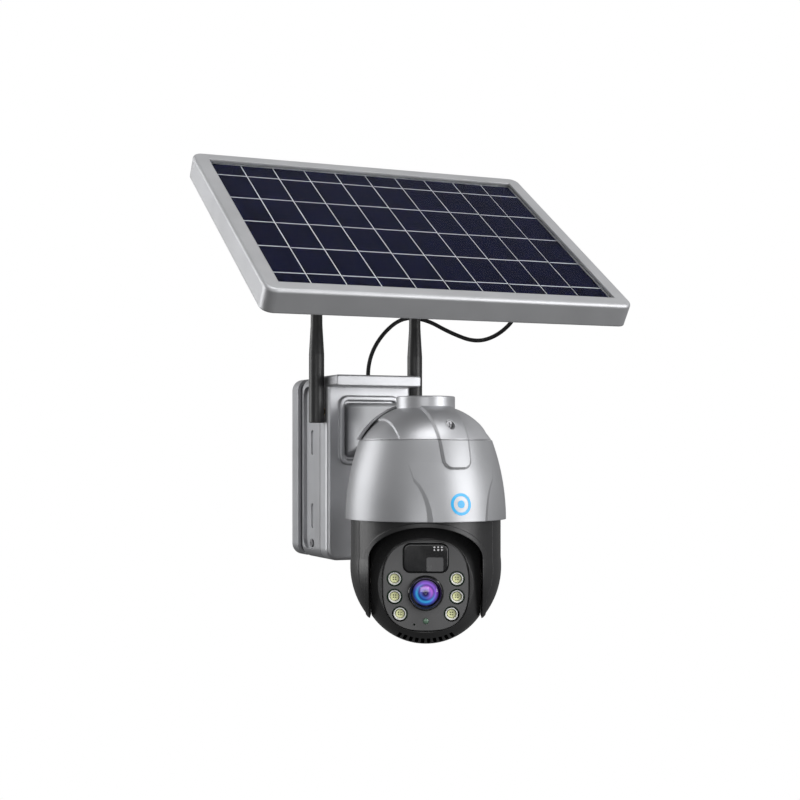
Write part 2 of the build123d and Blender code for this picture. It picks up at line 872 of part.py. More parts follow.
with BuildPart() as post_tops:
    with BuildSketch(Plane.XY.offset(hood_seam)):
        with Locations(*post_places):
            Circle(post_radius)
    extrude(amount=20)
    add(cap_solid(-cap_step - cap_wall - fit_gap), mode=Mode.INTERSECT)

with BuildPart() as dome_chassis:
    add(ring(chassis_low, chassis_high, chassis_radius, spindle_bore).part)
    add(ring(spindle_end, chassis_low, spindle_radius - running_gap, spindle_bore).part)
    with BuildSketch(Plane.XY.offset(chassis_low)):
        with Locations(*post_places):
            Circle(post_radius)
    extrude(amount=hood_seam - chassis_low)
    add(post_tops.part)
    with BuildSketch(Plane.XY.offset(chassis_low)):
        with Locations(pan_motor_place):
            Circle(pinion_shaft + 0.1)
    extrude(amount=chassis_high - chassis_low, mode=Mode.SUBTRACT)
    for azimuth in cap_screw_azimuths:
        with BuildSketch(cap_screw_plane(azimuth, 20)):
            Circle(1.55)
        extrude(amount=20, mode=Mode.SUBTRACT)
save("dome_chassis", dome_chassis)

pan_bearing = ring(hub_top + 0.1, chassis_low, 16, spindle_radius + running_gap)
save("pan_bearing", pan_bearing)

spindle_ring = ring(spindle_end, turntable_low - 0.1, 11, spindle_radius)
save("spindle_ring", spindle_ring)

with BuildPart() as pan_motor:
    with BuildSketch(Plane.XY.offset(chassis_high)):
        with Locations(pan_motor_place):
            Circle(pan_motor_radius)
    extrude(amount=pan_motor_height)
    fillet(pan_motor.edges().sort_by(Axis.Z)[-1], 0.8)
save("pan_motor", pan_motor)

with BuildPart() as pan_pinion:
    with BuildSketch(Plane(origin=(*pan_motor_place, gear_low - 0.5))):
        with BuildLine():
            Polyline(*gear_points(pinion_teeth, opposite_phase(pan_motor_azimuth)), close=True)
        make_face()
    extrude(amount=gear_face + 1)
    with BuildSketch(Plane.XY.offset(gear_low + gear_face)):
        with Locations(pan_motor_place):
            Circle(pinion_shaft)
    extrude(amount=chassis_high - gear_low - gear_face - 0.1)
save("pan_pinion", pan_pinion)


# The turning parts' own planes: the yoke's looks straight ahead of it, the head's leans down with the face
turn = math.radians(rest_pan)
lean = math.radians(rest_tilt)
right = (math.cos(turn), math.sin(turn), 0)
ahead = (math.sin(turn), -math.cos(turn), 0)
head_ahead = (ahead[0] * math.cos(lean), ahead[1] * math.cos(lean), -math.sin(lean))
pan_plane = Plane(origin=(0, dome_y, 0), x_dir=right, z_dir=(0, 0, 1))
yoke_plane = Plane(origin=(0, dome_y, tilt_z), x_dir=right, z_dir=ahead)
head_plane = Plane(origin=(0, dome_y, tilt_z), x_dir=right, z_dir=head_ahead)

with BuildPart() as turntable:
    add(ring(turntable_low, turntable_high, turntable_radius, spindle_radius).part)
    add(ring(turntable_high, gear_low, hub_radius, spindle_radius).part)
    add(ring(gear_low, hub_top, gear_seat, spindle_radius).part)
    with BuildSketch(pan_plane.offset(turntable_high)):
        with PolarLocations(29, 6):
            Rectangle(24, 2.4)
    extrude(amount=5)
    with BuildSketch(pan_plane.offset(turntable_low)):
        with Locations(*yoke_screws_at):
            Circle(1.5)
    extrude(amount=turntable_high - turntable_low, mode=Mode.SUBTRACT)
save("turntable", turntable)

with BuildPart() as pan_gear:
    with BuildSketch(Plane(origin=(0, dome_y, gear_low))):
        with BuildLine():
            Polyline(*gear_points(pan_teeth, pan_motor_azimuth), close=True)
        make_face()
        Circle(gear_seat + running_gap, mode=Mode.SUBTRACT)
    extrude(amount=gear_face)
save("pan_gear", pan_gear)

# ---------------------------------------------------------------- yoke


def yoke_solid(grow, raise_low=0.0):
    """The yoke's turned outline as a solid, grown by an amount and cut short at the bottom."""
    low = yoke_low + raise_low
    wide, foot = yoke_radius + grow, yoke_foot + grow
    with BuildPart() as turned:
        with BuildSketch(dome_section):
            with BuildLine():
                Line((wide, yoke_top), (wide, -60))
                ThreePointArc((wide, -60), (50.2 + grow, -83), (foot, low))
                Polyline((foot, low), (0, low), (0, yoke_top), (wide, yoke_top))
            make_face()
        revolve(axis=dome_axis)
    return turned.part


def arch_prism(margin):
    """A prism through the yoke's front opening, which is arched at the top and open at the bottom."""
    half = yoke_gap_half + margin
    with BuildPart() as prism:
        with BuildSketch(yoke_plane.offset(5)):
            with BuildLine():
                EllipticalCenterArc((0, arch_spring), half, arch_rise + margin, start_angle=0, arc_size=180)
                Polyline((-half, arch_spring), (-half, -60), (half, -60), (half, arch_spring))
            make_face()
        extrude(amount=60)
    return prism.part


with BuildPart() as yoke_rim:
    add(yoke_solid(rim_stand))
    add(arch_prism(rim_side), mode=Mode.INTERSECT)

with BuildPart() as yoke_inside:
    add(yoke_solid(-yoke_wall, yoke_wall))
    with BuildSketch(Plane.XY.offset(yoke_top - yoke_roof)):
        with Locations((0, dome_y)):
            Circle(80)
    extrude(amount=40, mode=Mode.SUBTRACT)
    with BuildSketch(yoke_plane):
        with Locations((yoke_gap_half + yoke_wall / 2, 0), (-yoke_gap_half - yoke_wall / 2, 0)):
            Rectangle(yoke_wall, 240)
    extrude(amount=80, both=True, mode=Mode.SUBTRACT)

with BuildPart() as yoke:
    add(yoke_solid(0))
    add(yoke_rim.part)
    add(yoke_inside.part, mode=Mode.SUBTRACT)
    add(arch_prism(0), mode=Mode.SUBTRACT)
    with BuildSketch(yoke_plane):
        with Locations((0, rear_opening - 60)):
            Rectangle(2 * yoke_gap_half, 120)
    extrude(amount=-80, mode=Mode.SUBTRACT)
    with BuildSketch(yoke_plane):
        with Locations((0, yoke_low - tilt_z)):
            Rectangle(2 * yoke_gap_half, 30)
    extrude(amount=80, both=True, mode=Mode.SUBTRACT)
    with BuildSketch(pan_plane.offset(yoke_top - yoke_roof)):
        Circle(14)
        with Locations(*yoke_screws_at):
            Circle(1.7)
    extrude(amount=yoke_roof, mode=Mode.SUBTRACT)
    with BuildSketch(Plane(origin=(0, dome_y, tilt_z), x_dir=(0, 0, 1), z_dir=right)):
        Circle(axle_radius + 0.1)
    extrude(amount=yoke_gap_half + yoke_wall, both=True, mode=Mode.SUBTRACT)

with BuildPart() as yoke_front:
    add(yoke.part)
    with BuildSketch(yoke_plane.offset(yoke_split + yoke_seam / 2)):
        Rectangle(240, 240)
    extrude(amount=80, mode=Mode.INTERSECT)
save("yoke_front", yoke_front)

with BuildPart() as yoke_rear:
    add(yoke.part)
    with BuildSketch(yoke_plane.offset(yoke_split - yoke_seam / 2)):
        Rectangle(240, 240)
    extrude(amount=-160, mode=Mode.INTERSECT)
save("yoke_rear", yoke_rear)

with BuildPart() as yoke_screws:
    with BuildSketch(pan_plane.offset(yoke_top - yoke_roof)):
        with Locations(*yoke_screws_at):
            Circle(3)
    extrude(amount=-1.8)
    with BuildSketch(pan_plane.offset(yoke_top - yoke_roof)):
        with Locations(*yoke_screws_at):
            Circle(1.4)
    extrude(amount=5)
save("yoke_screws", yoke_screws)


def axle_plane(along):
    """A plane across the tilt axis, at a distance to the right of the head's middle."""
    origin = tuple(c + along * r for c, r in zip((0, dome_y, tilt_z), right))
    return Plane(origin=origin, x_dir=head_plane.y_dir, z_dir=right)


tilt_gear_at = -(head_flat - head_wall - gear_inset)
tilt_motor_direction = -45
tilt_motor_reach = gear_pair_distance(tilt_teeth)
tilt_motor_place = (
    tilt_motor_reach * math.cos(math.radians(tilt_motor_direction)),
    tilt_motor_reach * math.sin(math.radians(tilt_motor_direction)),
)
tilt_motor_from = tilt_gear_at + tilt_gear_face + 2.8
tilt_pinion_plane = Plane(
    origin=place_on(axle_plane(tilt_gear_at - 0.2), *tilt_motor_place, 0), x_dir=head_plane.y_dir, z_dir=right
)

with BuildPart() as tilt_gear:
    with BuildSketch(axle_plane(-axle_end)):
        Circle(axle_flange)
    extrude(amount=axle_end - yoke_gap_half - yoke_wall)
    with BuildSketch(axle_plane(-axle_end)):
        Circle(axle_radius)
    extrude(amount=axle_end + tilt_gear_at)
    with BuildSketch(axle_plane(tilt_gear_at)):
        with BuildLine():
            Polyline(*gear_points(tilt_teeth, tilt_motor_direction), close=True)
        make_face()
    extrude(amount=tilt_gear_face)
    with BuildSketch(axle_plane(-axle_end)):
        Circle(axle_bore)
    extrude(amount=20, mode=Mode.SUBTRACT)
save("tilt_gear", tilt_gear)

with BuildPart() as tilt_axle:
    with BuildSketch(axle_plane(yoke_gap_half + yoke_wall)):
        Circle(axle_flange)
    extrude(amount=axle_end - yoke_gap_half - yoke_wall)
    with BuildSketch(axle_plane(head_flat - head_wall - 1)):
        Circle(axle_radius)
    extrude(amount=axle_end - head_flat + head_wall + 1)
    with BuildSketch(axle_plane(head_flat - head_wall - 1)):
        Circle(axle_bore)
    extrude(amount=20, mode=Mode.SUBTRACT)
save("tilt_axle", tilt_axle)

with BuildPart() as tilt_pinion:
    with BuildSketch(tilt_pinion_plane):
        with BuildLine():
            Polyline(*gear_points(pinion_teeth, opposite_phase(tilt_motor_direction)), close=True)
        make_face()
    extrude(amount=tilt_gear_face + 0.4)
    with BuildSketch(axle_plane(tilt_gear_at + tilt_gear_face + 0.2)):
        with Locations(tilt_motor_place):
            Circle(pinion_shaft)
    extrude(amount=tilt_motor_from - tilt_gear_at - tilt_gear_face - 0.3)
save("tilt_pinion", tilt_pinion)

motor_ears = [
    (tilt_motor_place[0] + side * ear_reach * math.sin(math.radians(45)),
     tilt_motor_place[1] + side * ear_reach * math.sin(math.radians(45)))
    for side in (-1, 1)
]

with BuildPart() as tilt_motor:
    with BuildSketch(axle_plane(tilt_motor_from)):
        with Locations(tilt_motor_place):
            Circle(tilt_motor_radius)
    extrude(amount=tilt_motor_length)
    with BuildSketch(axle_plane(tilt_motor_from)):
        with Locations(tilt_motor_place):
            SlotOverall(2 * ear_reach + 6, 6, rotation=45)
    extrude(amount=1.2)
save("tilt_motor", tilt_motor)

# ---------------------------------------------------------------- head shells and face


ball_plane = Plane(origin=(0, dome_y, tilt_z), x_dir=tuple(-c for c in head_ahead), z_dir=right)


def head_solid(radius, flat):
    """A ball about the tilt axis with its two sides cut flat."""
    with BuildPart() as ball:
        with Locations(ball_plane):
            Sphere(radius)
        with BuildSketch(head_plane):
            Rectangle(2 * flat, 120)
        extrude(amount=80, both=True, mode=Mode.INTERSECT)
    return ball.part


def face_outline(margin):
    """Closed outline of the face: a rounded square with full, soft corners."""
    points = []
    for step in range(32):
        angle = 2 * math.pi * step / 32
        across, up = math.cos(angle), math.sin(angle)
        points.append((
            (face_half_width + margin) * math.copysign(abs(across) ** face_squareness, across),
            (face_half_height + margin) * math.copysign(abs(up) ** face_squareness, up),
        ))
    return Spline(*points, periodic=True)


led_centres = [(side * x, y) for side in (-1, 1) for x, y in led_places]

with BuildPart() as head_shell:
    add(head_solid(head_radius, head_flat))
    add(head_solid(head_radius - head_wall, head_flat - head_wall), mode=Mode.SUBTRACT)
    with BuildSketch(axle_plane(0)):
        Circle(axle_radius + running_gap)
    extrude(amount=60, both=True, mode=Mode.SUBTRACT)

with BuildPart() as head_front:
    add(head_shell.part)
    with BuildSketch(head_plane.offset(head_split + head_seam / 2)):
        Rectangle(120, 120)
    extrude(amount=face_cut - head_split - head_seam / 2, mode=Mode.INTERSECT)
    with BuildSketch(head_plane.offset(22)):
        with BuildLine():
            face_outline(face_margin)
        make_face()
    extrude(amount=20, mode=Mode.SUBTRACT)
    with BuildSketch(head_plane.offset(5)):
        with PolarLocations(vent_reach, vent_count, start_angle=-90 - vent_span / 2, angular_range=vent_span,
                            endpoint=True):
            Rectangle(vent_length, vent_width)
    extrude(amount=30, mode=Mode.SUBTRACT)
save("head_front_shell", head_front)

with BuildPart() as head_rear:
    add(head_shell.part)
    with BuildSketch(head_plane.offset(head_split - head_seam / 2)):
        Rectangle(120, 120)
    extrude(amount=-120, mode=Mode.INTERSECT)
    with BuildSketch(axle_plane(-head_flat + head_wall / 2)):
        with Locations(*motor_ears):
            Circle(2)
    extrude(amount=tilt_motor_from + head_flat - head_wall / 2)
save("head_rear_shell", head_rear)

face_back = face_cut + face_stand - face_thickness

with BuildPart() as face_plate:
    with BuildSketch(head_plane.offset(face_back)):
        with BuildLine():
            face_outline(0)
        make_face()
        with Locations((0, pir_z)):
            RectangleRounded(pir_size[0] + 0.6, pir_size[1] + 0.6, 5.2, mode=Mode.SUBTRACT)
        with Locations((0, lens_z)):
            Circle(lens_ring_radius + 0.1, mode=Mode.SUBTRACT)
        with Locations(*led_centres):
            Circle(led_hole, mode=Mode.SUBTRACT)
        with Locations((0, light_sensor_z)):
            Circle(2.1, mode=Mode.SUBTRACT)
        with Locations(microphone_at):
            Circle(0.7, mode=Mode.SUBTRACT)
    extrude(amount=face_thickness)
    with BuildSketch(head_plane.offset(face_back)):
        with BuildLine():
            face_outline(face_flange[0])
        make_face()
        with BuildLine():
            face_outline(-1)
        make_face(mode=Mode.SUBTRACT)
    extrude(amount=face_flange[1])
save("face_plate", face_plate)

with BuildPart() as front_board:
    with BuildSketch(head_plane.offset(board_depth)):
        Circle(29)
        with Locations((0, lens_z)):
            Circle(barrel_radius + 0.6, mode=Mode.SUBTRACT)
    extrude(amount=board_thickness)
    with BuildSketch(head_plane.offset(board_depth + board_thickness)):
        with Locations(*led_centres):
            Rectangle(5, 5)
        with Locations((0, pir_z)):
            Circle(4.5)
        with Locations((0, light_sensor_z)):
            Circle(1.5)
    extrude(amount=led_base)
save("front_board", front_board)

with BuildPart() as led_reflectors:
    for place in led_centres:
        with BuildSketch(head_plane.offset(board_depth + board_thickness + led_base)):
            with Locations(place):
                Circle(led_radius)
        extrude(amount=reflector_depth)
        with BuildSketch(head_plane.offset(board_depth + board_thickness + led_base)):
            with Locations(place):
                Circle(chip_radius + 0.1)
        with BuildSketch(head_plane.offset(board_depth + board_thickness + led_base + reflector_depth)):
            with Locations(place):
                Circle(led_radius - 0.6)
        loft(mode=Mode.SUBTRACT)
save("led_reflectors", led_reflectors)

with BuildPart() as led_chips:
    with BuildSketch(head_plane.offset(board_depth + board_thickness + led_base)):
        with Locations(*led_centres):
            Circle(chip_radius)
    extrude(amount=chip_height)
save("led_chips", led_chips)

with BuildPart() as pir_window:
    with BuildSketch(head_plane.offset(face_back)):
        with Locations((0, pir_z)):
            RectangleRounded(*pir_size, 5)
    extrude(amount=face_thickness + pir_stand)
    fillet(pir_window.faces().filter_by(Axis(head_plane.origin, head_ahead)).sort_by(
        Axis(head_plane.origin, head_ahead))[-1].edges(), 1.2)
save("pir_window", pir_window)

lens_section = Plane(
    origin=place_on(head_plane, 0, lens_z, 0), x_dir=right, z_dir=tuple(-c for c in head_plane.y_dir)
)
lens_axis = Axis(place_on(head_plane, 0, lens_z, 0), head_ahead)

with BuildPart() as lens_ring:
    with BuildSketch(lens_section):
        with BuildLine():
            Polyline(
                (lens_glass_radius + 0.15, face_back), (lens_ring_radius, face_back),
                (lens_ring_radius, face_cut + 1.6), (lens_ring_radius - 0.8, face_cut + 2.4),
                (lens_ring_radius - 1.4, face_cut + 2.4), (lens_glass_radius + 0.15, face_cut + 0.6),
                close=True,
            )
        make_face()
    revolve(axis=lens_axis)
save("lens_ring", lens_ring)

with BuildPart() as lens_glass:
    with BuildSketch(head_plane.offset(face_cut - 2.2)):
        with Locations((0, lens_z)):
            Circle(lens_glass_radius)
    extrude(amount=4)
    with Locations(head_plane.offset(face_cut + 1.6 - glass_curve)):
        with Locations((0, lens_z)):
            Sphere(glass_curve, mode=Mode.INTERSECT)
save("lens_glass", lens_glass)

with BuildPart() as lens_barrel:
    with BuildSketch(head_plane.offset(sensor_depth + board_thickness + 0.2)):
        with Locations((0, lens_z)):
            Circle(barrel_radius)
            Circle(barrel_radius - 1.4, mode=Mode.SUBTRACT)
    extrude(amount=face_cut - 2.4 - sensor_depth - board_thickness - 0.2)
save("lens_barrel", lens_barrel)

with BuildPart() as sensor_board:
    with BuildSketch(head_plane.offset(sensor_depth)):
        with Locations((0, lens_z)):
            RectangleRounded(34, 34, 2)
    extrude(amount=board_thickness)
    with BuildSketch(head_plane.offset(sensor_depth + board_thickness)):
        with Locations((0, lens_z)):
            Rectangle(8, 8)
    extrude(amount=1.2)
save("sensor_board", sensor_board)

# ---------------------------------------------------------------- panel

slope = math.radians(panel_tilt)
up_slope = (0, math.cos(slope), math.sin(slope))
panel_normal = (0, -math.sin(slope), math.cos(slope))
panel_plane = Plane(origin=panel_centre, x_dir=(1, 0, 0), z_dir=panel_normal)
pivot = place_on(panel_plane, 0, 0, -pivot_depth)
frame_width = cells_width + 2 * frame_border
frame_height = cells_height + 2 * frame_border

with BuildPart() as panel_frame:
    with BuildSketch(panel_plane.offset(frame_back)):
        RectangleRounded(frame_width, frame_height, frame_corner)
    extrude(amount=frame_top - frame_back)
    fillet(panel_frame.faces().sort_by(Axis(panel_centre, panel_normal))[-1].edges(), 2.5)
    with BuildSketch(panel_plane.offset(frame_back)):
        Rectangle(cells_width + 1.2, cells_height + 1.2)
    extrude(amount=frame_top - frame_back, mode=Mode.SUBTRACT)
    with BuildSketch(panel_plane.offset(frame_back)):
        RectangleRounded(cells_width + 2 * rebate, cells_height + 2 * rebate, 2)
    extrude(amount=glass_top - frame_back, mode=Mode.SUBTRACT)
save("panel_frame", panel_frame)

sheet_width = cells_width + 2 * rebate - fit_gap
sheet_height = cells_height + 2 * rebate - fit_gap


def panel_sheet(low, high):
    """A flat sheet that fits the frame's rebate."""
    with BuildPart() as sheet:
        with BuildSketch(panel_plane.offset(low)):
            RectangleRounded(sheet_width, sheet_height, 1.8)
        extrude(amount=high - low)
    return sheet


panel_glass = panel_sheet(glass_low, glass_top)
save("panel_glass", panel_glass)

cell_width = (cells_width - (cell_columns - 1) * cell_gap) / cell_columns

with BuildPart() as solar_cells:
    with BuildSketch(panel_plane.offset(-cell_thickness)):
        with GridLocations(cell_width + cell_gap, 0, cell_columns, 1):
            Rectangle(cell_width, cells_height)
    extrude(amount=cell_thickness)
save("solar_cells", solar_cells)

panel_backsheet = panel_sheet(-cell_thickness - 1.0, -cell_thickness)
save("panel_backsheet", panel_backsheet)

panel_back = panel_sheet(frame_back, frame_back + 2.4)
save("panel_back", panel_back)

with BuildPart() as junction_box:
    with BuildSketch(panel_plane.offset(frame_back)):
        with Locations(junction_at):
            RectangleRounded(*junction_size[:2], 4)
    extrude(amount=-junction_size[2], taper=3)
    fillet(junction_box.faces().sort_by(Axis(panel_centre, panel_normal))[0].edges(), 1.5)
save("junction_box", junction_box)

gland_from = frame_back - junction_size[2]

with BuildPart() as junction_gland:
    with BuildSketch(panel_plane.offset(gland_from)):
        with Locations(gland_at):
            RegularPolygon(5.8, 6)
    extrude(amount=-4)
    with BuildSketch(panel_plane.offset(gland_from - 4)):
        with Locations(gland_at):
            Circle(4.6)
    extrude(amount=-(gland_length - 4), taper=18)
save("junction_gland", junction_gland)

lug_plane = Plane(origin=pivot, x_dir=up_slope, z_dir=(1, 0, 0))

with BuildPart() as hinge_mount:
    with BuildSketch(panel_plane.offset(frame_back)):
        RectangleRounded(60, 56, 4)
    extrude(amount=-mount_thickness)
    lug_rise = pivot_depth + frame_back - mount_thickness
    with BuildSketch(lug_plane):
        Circle(pivot_round)
        with Locations((0, lug_rise / 2)):
            Rectangle(2 * pivot_round, lug_rise)
        Circle(bolt_radius + running_gap, mode=Mode.SUBTRACT)
    extrude(amount=lug_half, both=True)
save("panel_hinge_mount", hinge_mount)

# ---------------------------------------------------------------- panel bracket

pivot_y, pivot_z = pivot.Y, pivot.Z
ear_inside = lug_half + fit_gap
bracket_holes = [(x, bracket_middle + z) for x in (-18, 18) for z in (-26, 26)]

with BuildPart() as panel_bracket:
    with BuildSketch(out_from_wall(0)):
        with Locations((0, bracket_middle)):
            RectangleRounded(bracket_plate[0], bracket_plate[1], 5)
        with Locations(*bracket_holes):
            Circle(2.75, mode=Mode.SUBTRACT)
    extrude(amount=bracket_plate[2])
    with BuildSketch(out_from_wall(bracket_plate[2])):
        with Locations((0, pivot_z)):
            RectangleRounded(bracket_width, bracket_height, 3)
    extrude(amount=-pivot_y - bracket_plate[2] - slot_back)
    with BuildSketch(out_from_wall(bracket_plate[2])):
        with Locations((0, pivot_z)):
            RectangleRounded(bracket_width - 5, bracket_height - 5, 1)
    extrude(amount=-pivot_y - bracket_plate[2] - slot_back - 3, mode=Mode.SUBTRACT)
    for low in (-bracket_width / 2, ear_inside):
        with BuildSketch(Plane.YZ.offset(low)):
            with Locations((pivot_y, pivot_z)):
                Circle(pivot_round)
            with Locations((pivot_y + slot_back / 2, pivot_z)):
                Rectangle(slot_back, bracket_height)
        extrude(amount=bracket_width / 2 - ear_inside)
    with BuildSketch(Plane.YZ):
        with BuildLine():
            Polyline(
                (-bracket_plate[2], pivot_z + bracket_height / 2),
                (-bracket_plate[2] - gusset_length, pivot_z + bracket_height / 2),
                (-bracket_plate[2], bracket_middle + 24),
                close=True,
            )
        make_face()
    extrude(amount=2, both=True)
    with BuildSketch(Plane.YZ):
        with Locations((pivot_y, pivot_z)):
            Circle(bolt_radius + running_gap)
    extrude(amount=40, both=True, mode=Mode.SUBTRACT)
save("panel_bracket", panel_bracket)

with BuildPart() as hinge_bolt:
    with BuildSketch(Plane.YZ.offset(-bracket_width / 2)):
        with Locations((pivot_y, pivot_z)):
            Circle(bolt_radius)
    extrude(amount=bracket_width + 8)
    with BuildSketch(Plane.YZ.offset(-bracket_width / 2)):
        with Locations((pivot_y, pivot_z)):
            RegularPolygon(5.4, 6)
    extrude(amount=-4)
save("hinge_bolt", hinge_bolt)

with BuildPart() as bracket_knob:
    with BuildSketch(Plane.YZ.offset(bracket_width / 2 + 0.2)):
        with Locations((pivot_y, pivot_z)):
            Circle(knob_radius)
    extrude(amount=knob_length)
    with BuildSketch(Plane.YZ.offset(bracket_width / 2 + 2.2)):
        with Locations((pivot_y, pivot_z)):
            with PolarLocations(knob_radius + 1.2, 8):
                Circle(2.4)
    extrude(amount=knob_length, mode=Mode.SUBTRACT)
    with BuildSketch(Plane.YZ.offset(bracket_width / 2)):
        with Locations((pivot_y, pivot_z)):
            Circle(bolt_radius + running_gap)
    extrude(amount=8.5, mode=Mode.SUBTRACT)
save("bracket_knob", bracket_knob)

# ---------------------------------------------------------------- cable


def corner_radii(points):
    """The largest tangent arcs that a route's runs allow, one for each corner."""
    radii = []
    for before, here, after in zip(points, points[1:], points[2:]):
        first, second = Vector(*here) - Vector(*before), Vector(*after) - Vector(*here)
        bend = math.radians(first.get_angle(second))
        radii.append(0.45 * min(first.length, second.length) / math.tan(bend / 2))
    return radii


cable_radii = corner_radii(cable_points)
print("cable arc radii", [round(radius, 1) for radius in cable_radii])

with BuildPart() as solar_cable:
    with BuildLine() as cable_line:
        FilletPolyline(*cable_points, radius=cable_radii)
    with BuildSketch(Plane(cable_line.line @ 0, z_dir=cable_line.line % 0)):
        Circle(cable_diameter / 2)
    sweep()
cable_length = cable_line.wire().length
print("cable length", round(cable_length, 1))
print("cable volume ratio", round(solar_cable.part.volume / (math.pi * cable_diameter ** 2 / 4 * cable_length), 4))
save("solar_cable", solar_cable)
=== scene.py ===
# %% [markdown]
# # A solar security camera
# The metal and plastic parts come ready made from the CAD model, each in its exact place. What is left for
# Blender is what makes them look real: the paint, the moulded plastics, the coated lens, the solar cells
# with their silver lines, the cable that hangs between the box and the panel, and the studio around it
# all.

# %% Load the frame
import json
import math

import bmesh
import bpy
from mathutils import Matrix, Vector


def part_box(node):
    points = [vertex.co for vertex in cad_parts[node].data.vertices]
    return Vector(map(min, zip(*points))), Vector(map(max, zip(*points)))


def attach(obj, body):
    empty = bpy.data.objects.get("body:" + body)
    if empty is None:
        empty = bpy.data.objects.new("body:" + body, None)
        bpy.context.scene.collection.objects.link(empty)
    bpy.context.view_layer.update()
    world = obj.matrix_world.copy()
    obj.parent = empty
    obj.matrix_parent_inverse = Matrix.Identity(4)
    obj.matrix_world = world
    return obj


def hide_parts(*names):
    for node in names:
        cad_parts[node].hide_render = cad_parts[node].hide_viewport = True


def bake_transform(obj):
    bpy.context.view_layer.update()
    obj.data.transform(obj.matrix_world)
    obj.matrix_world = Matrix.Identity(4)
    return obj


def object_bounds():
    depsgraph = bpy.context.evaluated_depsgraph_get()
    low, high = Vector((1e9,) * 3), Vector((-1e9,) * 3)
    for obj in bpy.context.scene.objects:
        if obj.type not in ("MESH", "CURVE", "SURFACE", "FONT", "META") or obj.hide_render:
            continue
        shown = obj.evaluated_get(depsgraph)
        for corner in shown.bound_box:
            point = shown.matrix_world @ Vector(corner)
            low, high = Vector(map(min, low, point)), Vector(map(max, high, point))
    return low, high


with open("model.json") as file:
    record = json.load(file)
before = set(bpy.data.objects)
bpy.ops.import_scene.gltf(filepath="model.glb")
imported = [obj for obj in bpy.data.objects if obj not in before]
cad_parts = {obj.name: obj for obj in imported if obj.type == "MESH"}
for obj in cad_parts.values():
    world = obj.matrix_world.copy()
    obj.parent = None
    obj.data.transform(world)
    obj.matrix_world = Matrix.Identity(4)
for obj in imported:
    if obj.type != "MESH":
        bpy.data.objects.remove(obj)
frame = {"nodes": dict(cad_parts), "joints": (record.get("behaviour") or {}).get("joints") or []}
cad_low, cad_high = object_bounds()
nodes = frame["nodes"]
joints = {joint["name"]: joint for joint in frame["joints"]}
MM = 0.001

# %% [markdown]
# ## The camera
# A long lens from about a metre away keeps the shapes calm. It looks level, so upright edges stay upright,
# and a little vertical shift brings the tall panel and the low dome into one square picture. Tilting the
# camera would have framed it too, but then the box and the antennas would lean.

# %% Aim the camera
STAND = Vector((-0.423, -1.1054, 0.016))
YAW = math.radians(-23.6)
LENS = 65.4
UPWARD_SHIFT = 0.0588

camera_data = bpy.data.cameras.new("camera")
camera_data.lens = LENS
camera_data.sensor_width = 36.0
camera_data.shift_y = UPWARD_SHIFT
camera_data.clip_start = 0.05
camera_data.clip_end = 20.0
camera = bpy.data.objects.new("camera", camera_data)
camera.location = STAND
camera.rotation_euler = (math.pi / 2, 0.0, YAW)
bpy.context.scene.collection.objects.link(camera)
bpy.context.scene.camera = camera
print("camera", round(STAND.length, 2), "m from the wall plate")

# %% [markdown]
# ## Helpers for materials
# Every finish starts from one Principled shader. Patterns read the Object coordinates, so they stay on the
# part when it turns and need no unwrapping. A Bevel node rounds the shading along hard edges by a fraction
# of a millimetre, which gives each edge the thin highlight that real mouldings have. Real bevels would
# cost thousands of faces and can't be added to the CAD meshes anyway.

# %% Start a material


def start_material(name, color, metallic, roughness):
    """A material with one Principled shader, and its node tree and shader."""
    material = bpy.data.materials.new(name)
    material.use_nodes = True
    tree = material.node_tree
    shader = tree.nodes["Principled BSDF"]
    shader.inputs["Base Color"].default_value = (*color, 1.0)
    shader.inputs["Metallic"].default_value = metallic
    shader.inputs["Roughness"].default_value = roughness
    material.diffuse_color = (*color, 1.0)
    return material, tree, shader


def object_point(tree, matrix=None, scale=(1, 1, 1)):
    """Object coordinates, or the same measured from a part's own origin and axes."""
    coordinate = tree.nodes.new("ShaderNodeTexCoord")
    mapping = tree.nodes.new("ShaderNodeMapping")
    mapping.vector_type = "TEXTURE"
    if matrix is not None:
        mapping.inputs["Location"].default_value = matrix.to_translation()
        mapping.inputs["Rotation"].default_value = matrix.to_euler()
    mapping.inputs["Scale"].default_value = [1 / factor for factor in scale]
    tree.links.new(coordinate.outputs["Object"], mapping.inputs["Vector"])
    return mapping.outputs["Vector"]


def noise(tree, vector, scale, detail=3.0, rough=0.5):
    """Noise from 0 to 1 at a scale given in lumps per metre."""
    node = tree.nodes.new("ShaderNodeTexNoise")
    node.inputs["Scale"].default_value = scale
    node.inputs["Detail"].default_value = detail
    node.inputs["Roughness"].default_value = rough
    tree.links.new(vector, node.inputs["Vector"])
    return node.outputs["Fac"]


def spread(tree, value, low, high, from_low=0.3, from_high=0.7):
    """A value stretched into a new range."""
    node = tree.nodes.new("ShaderNodeMapRange")
    node.inputs["From Min"].default_value = from_low
    node.inputs["From Max"].default_value = from_high
    node.inputs["To Min"].default_value = low
    node.inputs["To Max"].default_value = high
    tree.links.new(value, node.inputs["Value"])
    return node.outputs["Result"]


def blend_colors(tree, factor, first, second):
    """One colour mixed into another by a factor from 0 to 1; either may be a socket."""
    node = tree.nodes.new("ShaderNodeMix")
    node.data_type = "RGBA"
    for socket, color in ((node.inputs[6], first), (node.inputs[7], second)):
        if isinstance(color, bpy.types.NodeSocket):
            tree.links.new(color, socket)
        else:
            socket.default_value = (*color, 1.0)
    tree.links.new(factor, node.inputs[0])
    return node.outputs[2]


